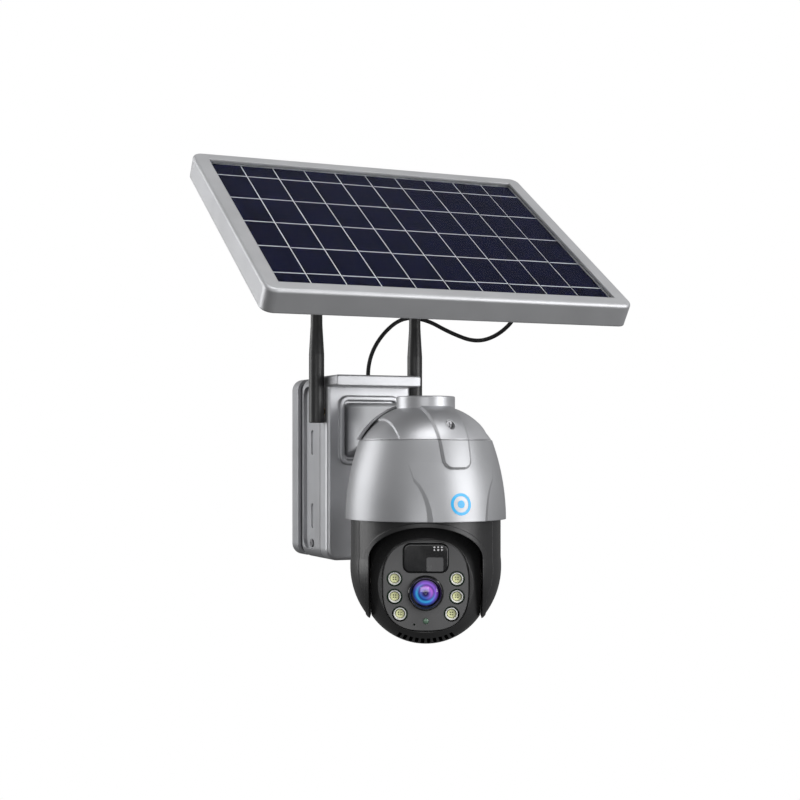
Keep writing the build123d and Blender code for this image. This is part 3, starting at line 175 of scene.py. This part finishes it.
def add_relief(tree, shader, height, depth, edge=0.0):
    """Bump from a height socket, over edges that are softened by a radius; both in metres."""
    bump = tree.nodes.new("ShaderNodeBump")
    bump.inputs["Distance"].default_value = depth
    tree.links.new(height, bump.inputs["Height"])
    if edge:
        bevel = tree.nodes.new("ShaderNodeBevel")
        bevel.samples = 4
        bevel.inputs["Radius"].default_value = edge
        tree.links.new(bevel.outputs["Normal"], bump.inputs["Normal"])
    tree.links.new(bump.outputs["Normal"], shader.inputs["Normal"])


# %% [markdown]
# ## Paint, plastics and metals
# The box and the hood wear silver paint: aluminium flakes in a satin lacquer. A metallic shader with a
# fine flake pattern in its roughness gives the soft, slightly grainy shine, and a slow noise keeps large
# faces from looking flat. The dark mouldings are spark-eroded plastic, so they get a fine even grain and a
# soft shine.

# %% Painted and moulded finishes


def silver_paint(name, color, roughness=0.42, edge=0.0006):
    """Satin silver lacquer with fine flakes."""
    material, tree, shader = start_material(name, color, 0.66, roughness)
    point = object_point(tree)
    flakes = noise(tree, point, 5200, 1.0)
    clouds = noise(tree, point, 26, 2.0)
    light = [min(1.0, c * 1.16) for c in color]
    dark = [c * 0.84 for c in color]
    tone = blend_colors(tree, spread(tree, clouds, 0.25, 0.75), dark, light)
    tone = blend_colors(tree, spread(tree, flakes, 0.0, 0.45, 0.45, 0.75), tone, light)
    tree.links.new(tone, shader.inputs["Base Color"])
    tree.links.new(spread(tree, flakes, roughness - 0.06, roughness + 0.08), shader.inputs["Roughness"])
    shader.inputs["Coat Weight"].default_value = 0.12
    shader.inputs["Coat Roughness"].default_value = 0.3
    add_relief(tree, shader, noise(tree, point, 900, 2.0), 0.00002, edge)
    return material


def grained_plastic(name, color, roughness=0.46, grain=1600, depth=0.00005, edge=0.0004):
    """Moulded plastic with a fine eroded grain."""
    material, tree, shader = start_material(name, color, 0.0, roughness)
    point = object_point(tree)
    fine = noise(tree, point, grain, 2.0)
    clouds = noise(tree, point, 40, 3.0)
    light = [c * 1.25 + 0.004 for c in color]
    dark = [c * 0.8 for c in color]
    tone = blend_colors(tree, spread(tree, clouds, 0.2, 0.8), dark, light)
    tree.links.new(tone, shader.inputs["Base Color"])
    tree.links.new(spread(tree, fine, roughness - 0.07, roughness + 0.09), shader.inputs["Roughness"])
    add_relief(tree, shader, fine, depth, edge)
    return material


def gloss_plastic(name, color, roughness=0.12, edge=0.0004):
    """Polished plastic with the faint waves of a moulded surface."""
    material, tree, shader = start_material(name, color, 0.0, roughness)
    point = object_point(tree)
    smears = noise(tree, point, 70, 4.0, 0.6)
    tree.links.new(spread(tree, smears, roughness, roughness + 0.1), shader.inputs["Roughness"])
    light = [c * 1.3 + 0.003 for c in color]
    tone = blend_colors(tree, spread(tree, smears, 0.1, 0.9), color, light)
    tree.links.new(tone, shader.inputs["Base Color"])
    shader.inputs["Coat Weight"].default_value = 0.35
    shader.inputs["Coat Roughness"].default_value = 0.05
    add_relief(tree, shader, noise(tree, point, 120, 1.0), 0.00002, edge)
    return material


def brushed_metal(name, color, roughness=0.28, stretch=(1, 1, 0.04)):
    """Turned or brushed metal, with fine lines across the stretched direction."""
    material, tree, shader = start_material(name, color, 1.0, roughness)
    point = object_point(tree, scale=stretch)
    lines = noise(tree, point, 3800, 2.0)
    tree.links.new(spread(tree, lines, roughness - 0.08, roughness + 0.12), shader.inputs["Roughness"])
    light = [min(1.0, c * 1.12) for c in color]
    dark = [c * 0.82 for c in color]
    tone = blend_colors(tree, spread(tree, lines, 0.0, 1.0), dark, light)
    tree.links.new(tone, shader.inputs["Base Color"])
    add_relief(tree, shader, lines, 0.00002, 0.0003)
    return material


paint = silver_paint("silver_paint", (0.395, 0.40, 0.415), edge=0.0009)
# Painted light: a lighter copy of the same silver paint for the box's front cover and the hood cap, standing
# in for the light those faces catch.
lit_silver_paint = silver_paint("silver_paint_painted_light", (0.51, 0.515, 0.535), 0.38, 0.0011)
frame_finish = silver_paint("panel_frame_finish", (0.50, 0.505, 0.52), 0.46, 0.0014)
dark_plastic = grained_plastic("charcoal_plastic", (0.017, 0.017, 0.018), 0.36, edge=0.0008)
face_plastic = grained_plastic("face_grey_plastic", (0.105, 0.105, 0.107), 0.42, 1900, 0.00003)
ball_plastic = grained_plastic("ball_charcoal", (0.034, 0.034, 0.035), 0.30, edge=0.0008)
black_plastic = grained_plastic("black_plastic", (0.012, 0.012, 0.013), 0.48)
antenna_plastic = grained_plastic("antenna_black", (0.028, 0.028, 0.029), 0.36, 1300, 0.00004)
rubber = grained_plastic("black_rubber", (0.009, 0.009, 0.010), 0.62, 2400, 0.00006)
black_gloss = gloss_plastic("black_gloss", (0.006, 0.006, 0.007), 0.10)
gear_plastic = gloss_plastic("gear_plastic", (0.68, 0.66, 0.60), 0.3)
cell_wrap = gloss_plastic("battery_wrap", (0.03, 0.13, 0.32), 0.22)
steel = brushed_metal("screw_steel", (0.56, 0.56, 0.58))
dull_steel = brushed_metal("dull_screw_steel", (0.26, 0.26, 0.27), 0.4)
motor_steel = brushed_metal("motor_steel", (0.50, 0.50, 0.53), 0.34)
brass = brushed_metal("brass", (0.72, 0.52, 0.22), 0.26, (0.04, 1, 1))
back_film = grained_plastic("white_back_film", (0.90, 0.90, 0.91), 0.4, 900, 0.00002)
print("mixed", len(bpy.data.materials), "finishes")

# %% [markdown]
# ## The places that parts are measured from
# The head looks to one side and a little down, and the panel leans back. A matrix for each gives pieces a
# flat drawing board: x to the right, y up along the face, z out of it. The head's comes from its tilt
# joint, and the panel's from the glass, whose own box gives its middle, lowered to the face of the cells.

# %% Set up the drawing boards
HEAD_LEAN = math.radians(5.0)
PANEL_TILT = math.radians(34.0)

head_right = Vector(joints["tilt"]["axis"]).normalized()
level_ahead = head_right.cross(Vector((0, 0, 1)))
head_ahead = level_ahead * math.cos(HEAD_LEAN) - Vector((0, 0, 1)) * math.sin(HEAD_LEAN)
head_up = head_ahead.cross(head_right)
head_board = Matrix.Translation(Vector(joints["tilt"]["pos_m"])) @ Matrix(
    (head_right, head_up, head_ahead)
).transposed().to_4x4()

glass_low, glass_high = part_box("panel_glass")
GLASS_MIDDLE = 0.65 * MM
panel_turn = Matrix.Rotation(PANEL_TILT, 4, "X")
panel_normal = panel_turn @ Vector((0, 0, 1))
panel_board = Matrix.Translation((glass_low + glass_high) / 2 - GLASS_MIDDLE * panel_normal) @ panel_turn
print("panel middle", [round(c, 4) for c in panel_board.to_translation()])

# %% [markdown]
# ## Helpers for pieces
# A new piece is drawn on its board with bmesh, moved into place in the mesh itself, and told which body it
# rides on. Keeping the object at the origin matters: patterns on Object coordinates then line up with the
# parts beside it.

# %% Finish a piece


def finish_piece(mesh_edit, name, board, material, body, smooth=True):
    """Turn a bmesh drawn on a board into a named piece that rides on a body."""
    bmesh.ops.recalc_face_normals(mesh_edit, faces=mesh_edit.faces)
    mesh_edit.transform(board)
    data = bpy.data.meshes.new(name)
    mesh_edit.to_mesh(data)
    mesh_edit.free()
    for polygon in data.polygons:
        polygon.use_smooth = smooth
    if smooth:
        data.set_sharp_from_angle(angle=math.radians(35))
    piece = bpy.data.objects.new(name, data)
    piece.data.materials.append(material)
    bpy.context.scene.collection.objects.link(piece)
    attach(piece, body)
    return piece


def add_block(mesh_edit, centre, size):
    """Add a block with its centre and its three sizes."""
    place = Matrix.Translation(centre) @ Matrix.Diagonal((*size, 1))
    bmesh.ops.create_cube(mesh_edit, size=1.0, matrix=place)


def spin_profile(mesh_edit, profile, middle, steps=64):
    """Turn a profile of (radius, depth) points about an axis that stands on the board."""
    rim = [mesh_edit.verts.new((middle[0] + radius, middle[1], depth)) for radius, depth in profile]
    edges = [mesh_edit.edges.new(pair) for pair in zip(rim, rim[1:])]
    bmesh.ops.spin(
        mesh_edit, geom=rim + edges, cent=(middle[0], middle[1], 0), axis=(0, 0, 1),
        angle=2 * math.pi, steps=steps, use_merge=True,
    )
    bmesh.ops.remove_doubles(mesh_edit, verts=mesh_edit.verts, dist=1e-6)


# %% [markdown]
# ## The cable
# A thin two-core cable leaves the top of the box, rises, arches behind the right antenna, dips and climbs
# into the gland of the junction box. A NURBS curve of order 3 gives it one smooth line through a few listed
# points. The line becomes a fixed mesh tube that takes the place of the CAD cable.

# %% Hang the solar cable
CABLE_DIAMETER = 3.2 * MM
CABLE_POINTS = [
    (14, -42, 72), (14, -42, 84), (24, -43, 104), (42, -44.5, 119.5), (60, -51, 118), (76, -62, 107),
    (91, -78, 98.5), (102, -95, 103), (111, -110, 117), (109, -111.4, 134.2), (109, -121.03, 148.37),
]

cable_curve = bpy.data.curves.new("solar_cable_line", "CURVE")
cable_curve.dimensions = "3D"
cable_curve.resolution_u = 14
cable_curve.bevel_resolution = 6
cable_curve.use_fill_caps = True
cable_spline = cable_curve.splines.new("NURBS")
cable_spline.points.add(len(CABLE_POINTS) - 1)
for point, place in zip(cable_spline.points, CABLE_POINTS):
    point.co = (*(Vector(place) * MM), 1.0)
cable_spline.order_u = 3
cable_spline.use_endpoint_u = True
cable_line = bpy.data.objects.new("solar_cable_line", cable_curve)
bpy.context.scene.collection.objects.link(cable_line)


def curve_mesh(thickness):
    """The cable's curve as a mesh: a bare line, or a tube of a thickness."""
    cable_curve.bevel_depth = thickness / 2
    bpy.context.view_layer.update()
    return bpy.data.meshes.new_from_object(cable_line.evaluated_get(bpy.context.evaluated_depsgraph_get()))


cable_path = [vertex.co[:] for vertex in curve_mesh(0).vertices]
cable_tube = curve_mesh(CABLE_DIAMETER)
bpy.data.objects.remove(cable_line)
cable_edit = bmesh.new()
cable_edit.from_mesh(cable_tube)
bmesh.ops.remove_doubles(cable_edit, verts=cable_edit.verts, dist=1e-6)
bmesh.ops.recalc_face_normals(cable_edit, faces=cable_edit.faces)
cable_edit.to_mesh(cable_tube)
cable_edit.free()
cable_tube.shade_smooth()
cable_tube.materials.clear()
cable_tube.materials.append(rubber)
cable = bpy.data.objects.new("solar_cable_run", cable_tube)
bpy.context.scene.collection.objects.link(cable)
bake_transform(cable)
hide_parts("solar_cable")
print("cable follows", len(cable_path), "points")

# %% [markdown]
# ## Solar cells
# Each column is a row of polycrystalline cells: dark blue with a faint crystal mosaic, crossed by hair-
# thin silver fingers. The mosaic is a stretched Voronoi pattern and the fingers a wave with a narrow peak,
# both measured on the panel's own board. The wider silver ribbons that cross the fingers are real strips,
# because they catch the light and cover the gaps' edges.

# %% Cell, glass and ribbon finishes
FINGER_PITCH = 1.9 * MM


def solar_cell_finish():
    """Dark blue crystal with fine silver fingers up the panel."""
    material, tree, shader = start_material("solar_cell", (0.008, 0.011, 0.045), 0.0, 0.3)
    point = object_point(tree, panel_board)
    crystal = tree.nodes.new("ShaderNodeTexVoronoi")
    crystal.inputs["Scale"].default_value = 230
    tree.links.new(point, crystal.inputs["Vector"])
    parts = tree.nodes.new("ShaderNodeSeparateColor")
    tree.links.new(crystal.outputs["Color"], parts.inputs["Color"])
    mosaic = blend_colors(tree, parts.outputs["Red"], (0.0022, 0.0027, 0.014), (0.0042, 0.0048, 0.023))
    fingers = tree.nodes.new("ShaderNodeTexWave")
    fingers.wave_profile = "SIN"
    fingers.bands_direction = "X"
    fingers.inputs["Scale"].default_value = 1 / (FINGER_PITCH * 3.1831)
    tree.links.new(point, fingers.inputs["Vector"])
    narrow = spread(tree, fingers.outputs["Fac"], 0.0, 0.55, 0.86, 1.0)
    tree.links.new(blend_colors(tree, narrow, mosaic, (0.026, 0.028, 0.05)), shader.inputs["Base Color"])
    tree.links.new(spread(tree, parts.outputs["Green"], 0.31, 0.36, 0.0, 1.0), shader.inputs["Roughness"])
    shader.inputs["Specular IOR Level"].default_value = 0.01
    add_relief(tree, shader, fingers.outputs["Fac"], 0.00001)
    return material


def cover_glass_finish():
    """Clear low-iron glass, wiped clean."""
    material, tree, shader = start_material("panel_glass_finish", (0.95, 0.97, 0.98), 0.0, 0.05)
    wiping = noise(tree, object_point(tree, panel_board, (1, 6, 1)), 35, 5.0, 0.6)
    tree.links.new(spread(tree, wiping, 0.0, 0.004), shader.inputs["Roughness"])
    shader.inputs["Transmission Weight"].default_value = 1.0
    shader.inputs["IOR"].default_value = 1.03
    return material


cell_finish = solar_cell_finish()
glass_finish = cover_glass_finish()
ribbon_silver = gloss_plastic("ribbon_silver", (0.70, 0.71, 0.74), 0.4)

# %% Lay the silver ribbons
CELL_COLUMNS = 10
CELL_GAP = 1.1 * MM
RIBBONS = 5
RIBBON_WIDTH = 0.9 * MM
RIBBON_SAG = 0.35 * MM
CELLS_SIZE = (247.7 * MM, 189.3 * MM)

cell_width = (CELLS_SIZE[0] - (CELL_COLUMNS - 1) * CELL_GAP) / CELL_COLUMNS
cell_step = cell_width + CELL_GAP
ribbon_step = CELLS_SIZE[1] / RIBBONS
ribbons = bmesh.new()
for column in range(CELL_COLUMNS):
    across = (column - (CELL_COLUMNS - 1) / 2) * cell_step
    for row in range(RIBBONS):
        along = (row - (RIBBONS - 1) / 2) * ribbon_step + RIBBON_SAG * math.sin(2.3 * column + 1.7 * row)
        add_block(ribbons, (across, along, -0.01 * MM), (cell_width, RIBBON_WIDTH, 0.06 * MM))
finish_piece(ribbons, "cell_ribbons", panel_board, ribbon_silver, "panel", smooth=False)
print("laid", CELL_COLUMNS * RIBBONS, "ribbons")

# %% [markdown]
# ## The lens
# Thin coatings reflect some colours more than others, so the front glass looks black in the middle and
# shows violet on one side and cyan on the other. That coloured reflection is painted: rings over the distance
# from the lens axis, mixed with a slant across it, put it into the colour under a clear coat, and a weak
# emission makes the lens glow though it is no lamp. Real refracting elements would need thousands of samples
# to show it.

# %% Coat the front lens
LENS_HEIGHT = -4.9 * MM
FACE_DEPTH = 32.7 * MM
COATED_RADIUS = 9.3 * MM
lens_board = head_board @ Matrix.Translation((0, LENS_HEIGHT, 0))


def color_ramp(tree, factor, stops):
    """A colour looked up along a row of stops."""
    ramp = tree.nodes.new("ShaderNodeValToRGB")
    tree.links.new(factor, ramp.inputs["Fac"])
    elements = ramp.color_ramp.elements
    elements[0].color, elements[1].color = (*stops[0][1], 1), (*stops[-1][1], 1)
    for position, color in stops[1:-1]:
        elements.new(position).color = (*color, 1)
    return ramp.outputs["Color"]


def along(tree, point, direction, low, high):
    """How far a point lies along a direction, from 0 to 1."""
    dot = tree.nodes.new("ShaderNodeVectorMath")
    dot.operation = "DOT_PRODUCT"
    dot.inputs[1].default_value = direction
    tree.links.new(point, dot.inputs[0])
    return spread(tree, dot.outputs["Value"], 0.0, 1.0, low, high)


def painted_lens_reflection():
    """Coated glass with a painted reflection: rings about the lens axis, violet above and cyan below, glowing
    weakly.
    """
    material, tree, shader = start_material("front_lens", (0.03, 0.02, 0.10), 0.0, 0.05)
    point = object_point(tree, lens_board, (1, 1, 0.001))
    distance = tree.nodes.new("ShaderNodeVectorMath")
    distance.operation = "LENGTH"
    tree.links.new(point, distance.inputs[0])
    out = spread(tree, distance.outputs["Value"], 0.0, 1.0, 0.0, COATED_RADIUS)
    violet = color_ramp(tree, out, [
        (0.0, (0.015, 0.008, 0.05)), (0.16, (0.03, 0.012, 0.11)), (0.3, (0.32, 0.10, 0.62)),
        (0.46, (0.55, 0.16, 0.78)), (0.6, (0.10, 0.035, 0.30)), (0.72, (0.34, 0.14, 0.85)),
        (0.86, (0.20, 0.07, 0.55)), (0.95, (0.02, 0.01, 0.05)), (1.0, (0.004, 0.004, 0.006)),
    ])
    cyan = color_ramp(tree, out, [
        (0.0, (0.010, 0.008, 0.05)), (0.2, (0.01, 0.02, 0.14)), (0.36, (0.03, 0.16, 0.62)),
        (0.5, (0.01, 0.05, 0.30)), (0.66, (0.06, 0.50, 0.95)), (0.8, (0.02, 0.10, 0.55)),
        (0.9, (0.03, 0.05, 0.30)), (0.95, (0.01, 0.01, 0.05)), (1.0, (0.004, 0.004, 0.006)),
    ])
    slant = along(tree, point, (-0.62, -0.78, 0.0), -0.0045, 0.0035)
    color = blend_colors(tree, slant, violet, cyan)
    tree.links.new(color, shader.inputs["Base Color"])
    # Painted reflection: the rings of coating colour go into the base colour and into a weak glow of their
    # own.
    tree.links.new(color, shader.inputs["Emission Color"])
    shader.inputs["Emission Strength"].default_value = 0.22
    shader.inputs["Coat Weight"].default_value = 1.0
    shader.inputs["Coat Roughness"].default_value = 0.03
    smears = noise(tree, object_point(tree), 160, 3.0)
    tree.links.new(spread(tree, smears, 0.04, 0.09), shader.inputs["Roughness"])
    return material


lens_with_painted_reflection = painted_lens_reflection()

# %% [markdown]
# ## Lamps
# Six white lamps ring the lens. Each is a yellow phosphor pad in a white reflector cup. The pad carries a
# few dark dies under the phosphor, drawn here as small raised squares.

# %% Dot the lamp dies
LAMP_PLACES = [(21.1, 4.8), (21.1, -7.4), (17.5, -19.3)]
DIE_SIZE = 0.8 * MM
DIE_PITCH = 1.5 * MM
CHIP_FACE = 31.0 * MM

phosphor = gloss_plastic("lamp_phosphor", (0.74, 0.76, 0.42), 0.25)
reflector_white = gloss_plastic("lamp_reflector", (0.78, 0.78, 0.76), 0.16)
die_dark = gloss_plastic("lamp_die", (0.10, 0.10, 0.05), 0.3)
dies = bmesh.new()
for side in (-1, 1):
    for across, up in LAMP_PLACES:
        for column in (-0.5, 0.5):
            for row in (-0.5, 0.5):
                place = (side * across * MM + column * DIE_PITCH, up * MM + row * DIE_PITCH, CHIP_FACE)
                add_block(dies, place, (DIE_SIZE, DIE_SIZE, 0.16 * MM))
finish_piece(dies, "lamp_dies", head_board, die_dark, "head", smooth=False)

# %% [markdown]
# ## Behind the dark window
# Through the smoked window of the motion sensor one sees the lighter lens of the sensor and a group of six
# pinholes. Both are thin inlays on its face, a hair proud of it, because the window itself is moulded
# opaque. Under the lens a small green dome lets daylight through to the light sensor.

# %% Inlay the window and seat the light sensor
WINDOW_STAND = 1.2 * MM
WINDOW_FACE = FACE_DEPTH + WINDOW_STAND
INLAY = 0.1 * MM
SENSOR_LENS = ((6.2 * MM, 14.8 * MM), (11.4 * MM, 9.6 * MM))
PINHOLES_AT = (8.4 * MM, 25.6 * MM)
PINHOLE_PITCH = (2.5 * MM, 1.9 * MM)
PINHOLE_RADIUS = 0.62 * MM
SENSOR_LENS_CORNER = 1.1 * MM
DAYLIGHT_HEIGHT = -24.2 * MM
DAYLIGHT_RADIUS = 2.0 * MM
DAYLIGHT_RISE = 0.45
DAYLIGHT_DEPTH = 2.4 * MM

sensor_grey = gloss_plastic("sensor_lens_grey", (0.085, 0.085, 0.088), 0.2)
pinhole_white = gloss_plastic("pinhole_white", (0.86, 0.86, 0.88), 0.3)
daylight_green = gloss_plastic("daylight_dome", (0.10, 0.17, 0.12), 0.22)

sensor_lens = bmesh.new()
(middle_x, middle_y), (lens_width, lens_height) = SENSOR_LENS
add_block(sensor_lens, (middle_x, middle_y, WINDOW_FACE), (lens_width, lens_height, INLAY))
corners = [edge for edge in sensor_lens.edges if abs(edge.verts[0].co.z - edge.verts[1].co.z) > INLAY / 2]
bmesh.ops.bevel(
    sensor_lens, geom=corners, offset=SENSOR_LENS_CORNER, offset_type="OFFSET", segments=5, profile=0.5,
    affect="EDGES", material=-1,
)
finish_piece(sensor_lens, "sensor_lens", head_board, sensor_grey, "head", smooth=False)

pinholes = bmesh.new()
for column in (-1, 0, 1):
    for row in (-0.5, 0.5):
        across = PINHOLES_AT[0] + column * PINHOLE_PITCH[0]
        up = PINHOLES_AT[1] + row * PINHOLE_PITCH[1]
        place = (across, up, WINDOW_FACE)
        bmesh.ops.create_cone(
            pinholes, cap_ends=True, segments=20, radius1=PINHOLE_RADIUS, radius2=PINHOLE_RADIUS, depth=INLAY,
            matrix=Matrix.Translation(place),
        )
finish_piece(pinholes, "sensor_pinholes", head_board, pinhole_white, "head")

daylight = bmesh.new()
dome_curve = [
    (DAYLIGHT_RADIUS * math.sin(angle), FACE_DEPTH + DAYLIGHT_RISE * DAYLIGHT_RADIUS * math.cos(angle))
    for angle in [math.pi / 2 * step / 8 for step in range(9)]
]
foot_depth = FACE_DEPTH - DAYLIGHT_DEPTH
dome_foot = [(DAYLIGHT_RADIUS, foot_depth), (0, foot_depth)]
spin_profile(daylight, dome_curve + dome_foot, (0, DAYLIGHT_HEIGHT), 32)
finish_piece(daylight, "daylight_dome", head_board, daylight_green, "head")

# %% [markdown]
# ## Circuit boards
# The boards are seen only through openings and in cut-away views. Green lacquer over copper shows as
# slightly lighter lines, which a square Voronoi pattern suggests.

# %% Lacquer the boards


def board_lacquer():
    """Green solder lacquer with the ghost of copper tracks."""
    material, tree, shader = start_material("board_lacquer", (0.01, 0.09, 0.035), 0.0, 0.3)
    point = object_point(tree)
    tracks = tree.nodes.new("ShaderNodeTexVoronoi")
    tracks.distance = "MANHATTAN"
    tracks.inputs["Scale"].default_value = 320
    tree.links.new(point, tracks.inputs["Vector"])
    lines = spread(tree, tracks.outputs["Distance"], 0.0, 1.0, 0.3, 0.5)
    tone = blend_colors(tree, lines, (0.008, 0.07, 0.028), (0.03, 0.16, 0.06))
    tree.links.new(tone, shader.inputs["Base Color"])
    add_relief(tree, shader, tracks.outputs["Distance"], 0.00004)
    return material


board_finish = board_lacquer()

# %% [markdown]
# ## Dress the CAD parts
# Each part keeps its exact mesh and only gets a better finish. One table says which.

# %% Assign the finishes
FINISHES = {
    paint: ["wall_plate", "box_rear_shell", "panel_bracket", "panel_hinge_mount", "hood_shell", "arm"],
    # The lighter copy of the silver paint on the front cover and the cap is painted light, not a different
    # paint.
    lit_silver_paint: ["box_front_cover", "hood_cap"],
    frame_finish: ["panel_frame"],
    rubber: ["box_seal", "power_button", "port_cover", "cable_grommet", "arm_harness", "junction_gland"],
    dull_steel: ["box_side_screws", "cap_screws"],
    steel: ["charging_port", "arm_screws", "yoke_screws", "hinge_bolt"],
    cell_wrap: ["battery_cells"],
    black_plastic: [
        "battery_holder", "dome_chassis", "panel_back", "junction_box", "bracket_knob", "lens_barrel",
    ],
    board_finish: ["power_board", "modem_board", "power_switch", "front_board", "sensor_board"],
    brass: ["antenna_sockets"],
    antenna_plastic: ["antenna_left", "antenna_right"],
    gear_plastic: [
        "pan_bearing", "spindle_ring", "pan_pinion", "pan_gear", "tilt_gear", "tilt_axle", "tilt_pinion",
    ],
    motor_steel: ["pan_motor", "tilt_motor"],
    dark_plastic: ["turntable", "yoke_front", "yoke_rear"],
    ball_plastic: ["head_front_shell", "head_rear_shell"],
    face_plastic: ["face_plate"],
    reflector_white: ["led_reflectors"],
    phosphor: ["led_chips"],
    black_gloss: ["pir_window", "lens_ring"],
    lens_with_painted_reflection: ["lens_glass"],
    glass_finish: ["panel_glass"],
    cell_finish: ["solar_cells"],
    back_film: ["panel_backsheet"],
}
for material, names in FINISHES.items():
    for name in names:
        nodes[name].data.materials.clear()
        nodes[name].data.materials.append(material)
dressed = {name for names in FINISHES.values() for name in names}
print("not dressed:", sorted(set(nodes) - dressed))

# %% [markdown]
# ## The badge on the hood
# A small round badge breaks up the large silver front. It is a thin printed ring with a dot, drawn flat
# and then pressed back onto the curved hood by casting each of its points at the surface.

# %% Print the badge
BADGE_HEIGHT = -22 * MM
BADGE_PROUD = 0.12 * MM
BADGE_RINGS = [(7.4 * MM, 5.4 * MM), (2.6 * MM, 0.0)]
badge_ink = gloss_plastic("badge_cyan", (0.0, 0.36, 0.72), 0.3)


def press_onto(mesh_edit, target, proud):
    """Push every point towards +Y until it lies just in front of a part."""
    for vertex in mesh_edit.verts:
        start = Vector((vertex.co.x, cad_low.y - 0.05, vertex.co.z))
        hit, place, _, _ = target.ray_cast(start, Vector((0, 1, 0)))
        if hit:
            vertex.co.y = place.y - proud


badge = bmesh.new()
for outer, inner in BADGE_RINGS:
    spin_profile(badge, [(outer, 0), (inner, 0)], (0, 0), 48)
badge.transform(Matrix.Translation((0, 0, BADGE_HEIGHT)) @ Matrix.Rotation(math.pi / 2, 4, "X"))
press_onto(badge, nodes["hood_shell"], BADGE_PROUD)
finish_piece(badge, "hood_badge", Matrix.Identity(4), badge_ink, "wall_box")

# %% [markdown]
# ## The studio
# The object hangs before a plain white sweep. A tall wide light to the right of the camera makes the broad
# highlight on the hood, one from the left lights the box's side and the rim of the hood, one from above
# lifts the cap and the lip, and a weak one in front keeps the lamps bright. Wide lights make soft edges on
# metallic paint.

# %% Build the studio


def build_air():
    """A white backdrop that lights the object more from above than from below."""
    world = bpy.data.worlds.new("studio_air")
    world.use_nodes = True
    tree = world.node_tree
    white = tree.nodes["Background"]
    white.inputs["Color"].default_value = (1.0, 1.0, 1.0, 1.0)
    white.inputs["Strength"].default_value = 1.0
    soft = tree.nodes.new("ShaderNodeBackground")
    coordinate = tree.nodes.new("ShaderNodeTexCoord")
    parts = tree.nodes.new("ShaderNodeSeparateXYZ")
    tree.links.new(coordinate.outputs["Generated"], parts.inputs["Vector"])
    tone = spread(tree, parts.outputs["Z"], 0.07, 0.46, -0.55, 0.75)
    tree.links.new(blend_colors(tree, tone, (0, 0, 0), (1, 1, 1)), soft.inputs["Color"])
    soft.inputs["Strength"].default_value = 1.0
    path = tree.nodes.new("ShaderNodeLightPath")
    chosen = tree.nodes.new("ShaderNodeMixShader")
    tree.links.new(path.outputs["Is Camera Ray"], chosen.inputs["Fac"])
    tree.links.new(soft.outputs["Background"], chosen.inputs[1])
    tree.links.new(white.outputs["Background"], chosen.inputs[2])
    tree.links.new(chosen.outputs["Shader"], tree.nodes["World Output"].inputs["Surface"])
    bpy.context.scene.world = world


def add_light(name, place, target, size, power):
    """A rectangular soft light aimed at a point."""
    data = bpy.data.lights.new(name, "AREA")
    data.shape = "RECTANGLE"
    data.size, data.size_y = size
    data.energy = power
    light = bpy.data.objects.new(name, data)
    light.location = place
    light.rotation_euler = (Vector(target) - Vector(place)).to_track_quat("-Z", "Y").to_euler()
    bpy.context.scene.collection.objects.link(light)


build_air()
DOME_MIDDLE = (0, -0.18, -0.03)
LIGHTS = [
    ("key_light", (0.85, -1.40, 0.28), (0.95, 1.4), 17.5),
    ("left_light", (-1.4, 0.9, 0.35), (1.2, 1.4), 16),
    ("top_light", (-0.1, -0.7, 1.4), (1.0, 0.7), 8),
    ("front_light", (-0.7, -1.5, -0.1), (0.9, 0.5), 3.4),
]
for name, place, size, power in LIGHTS:
    add_light(name, place, DOME_MIDDLE, size, power)
bpy.context.scene.view_settings.view_transform = "Standard"
print("studio lit by", len(bpy.data.lights), "lights")
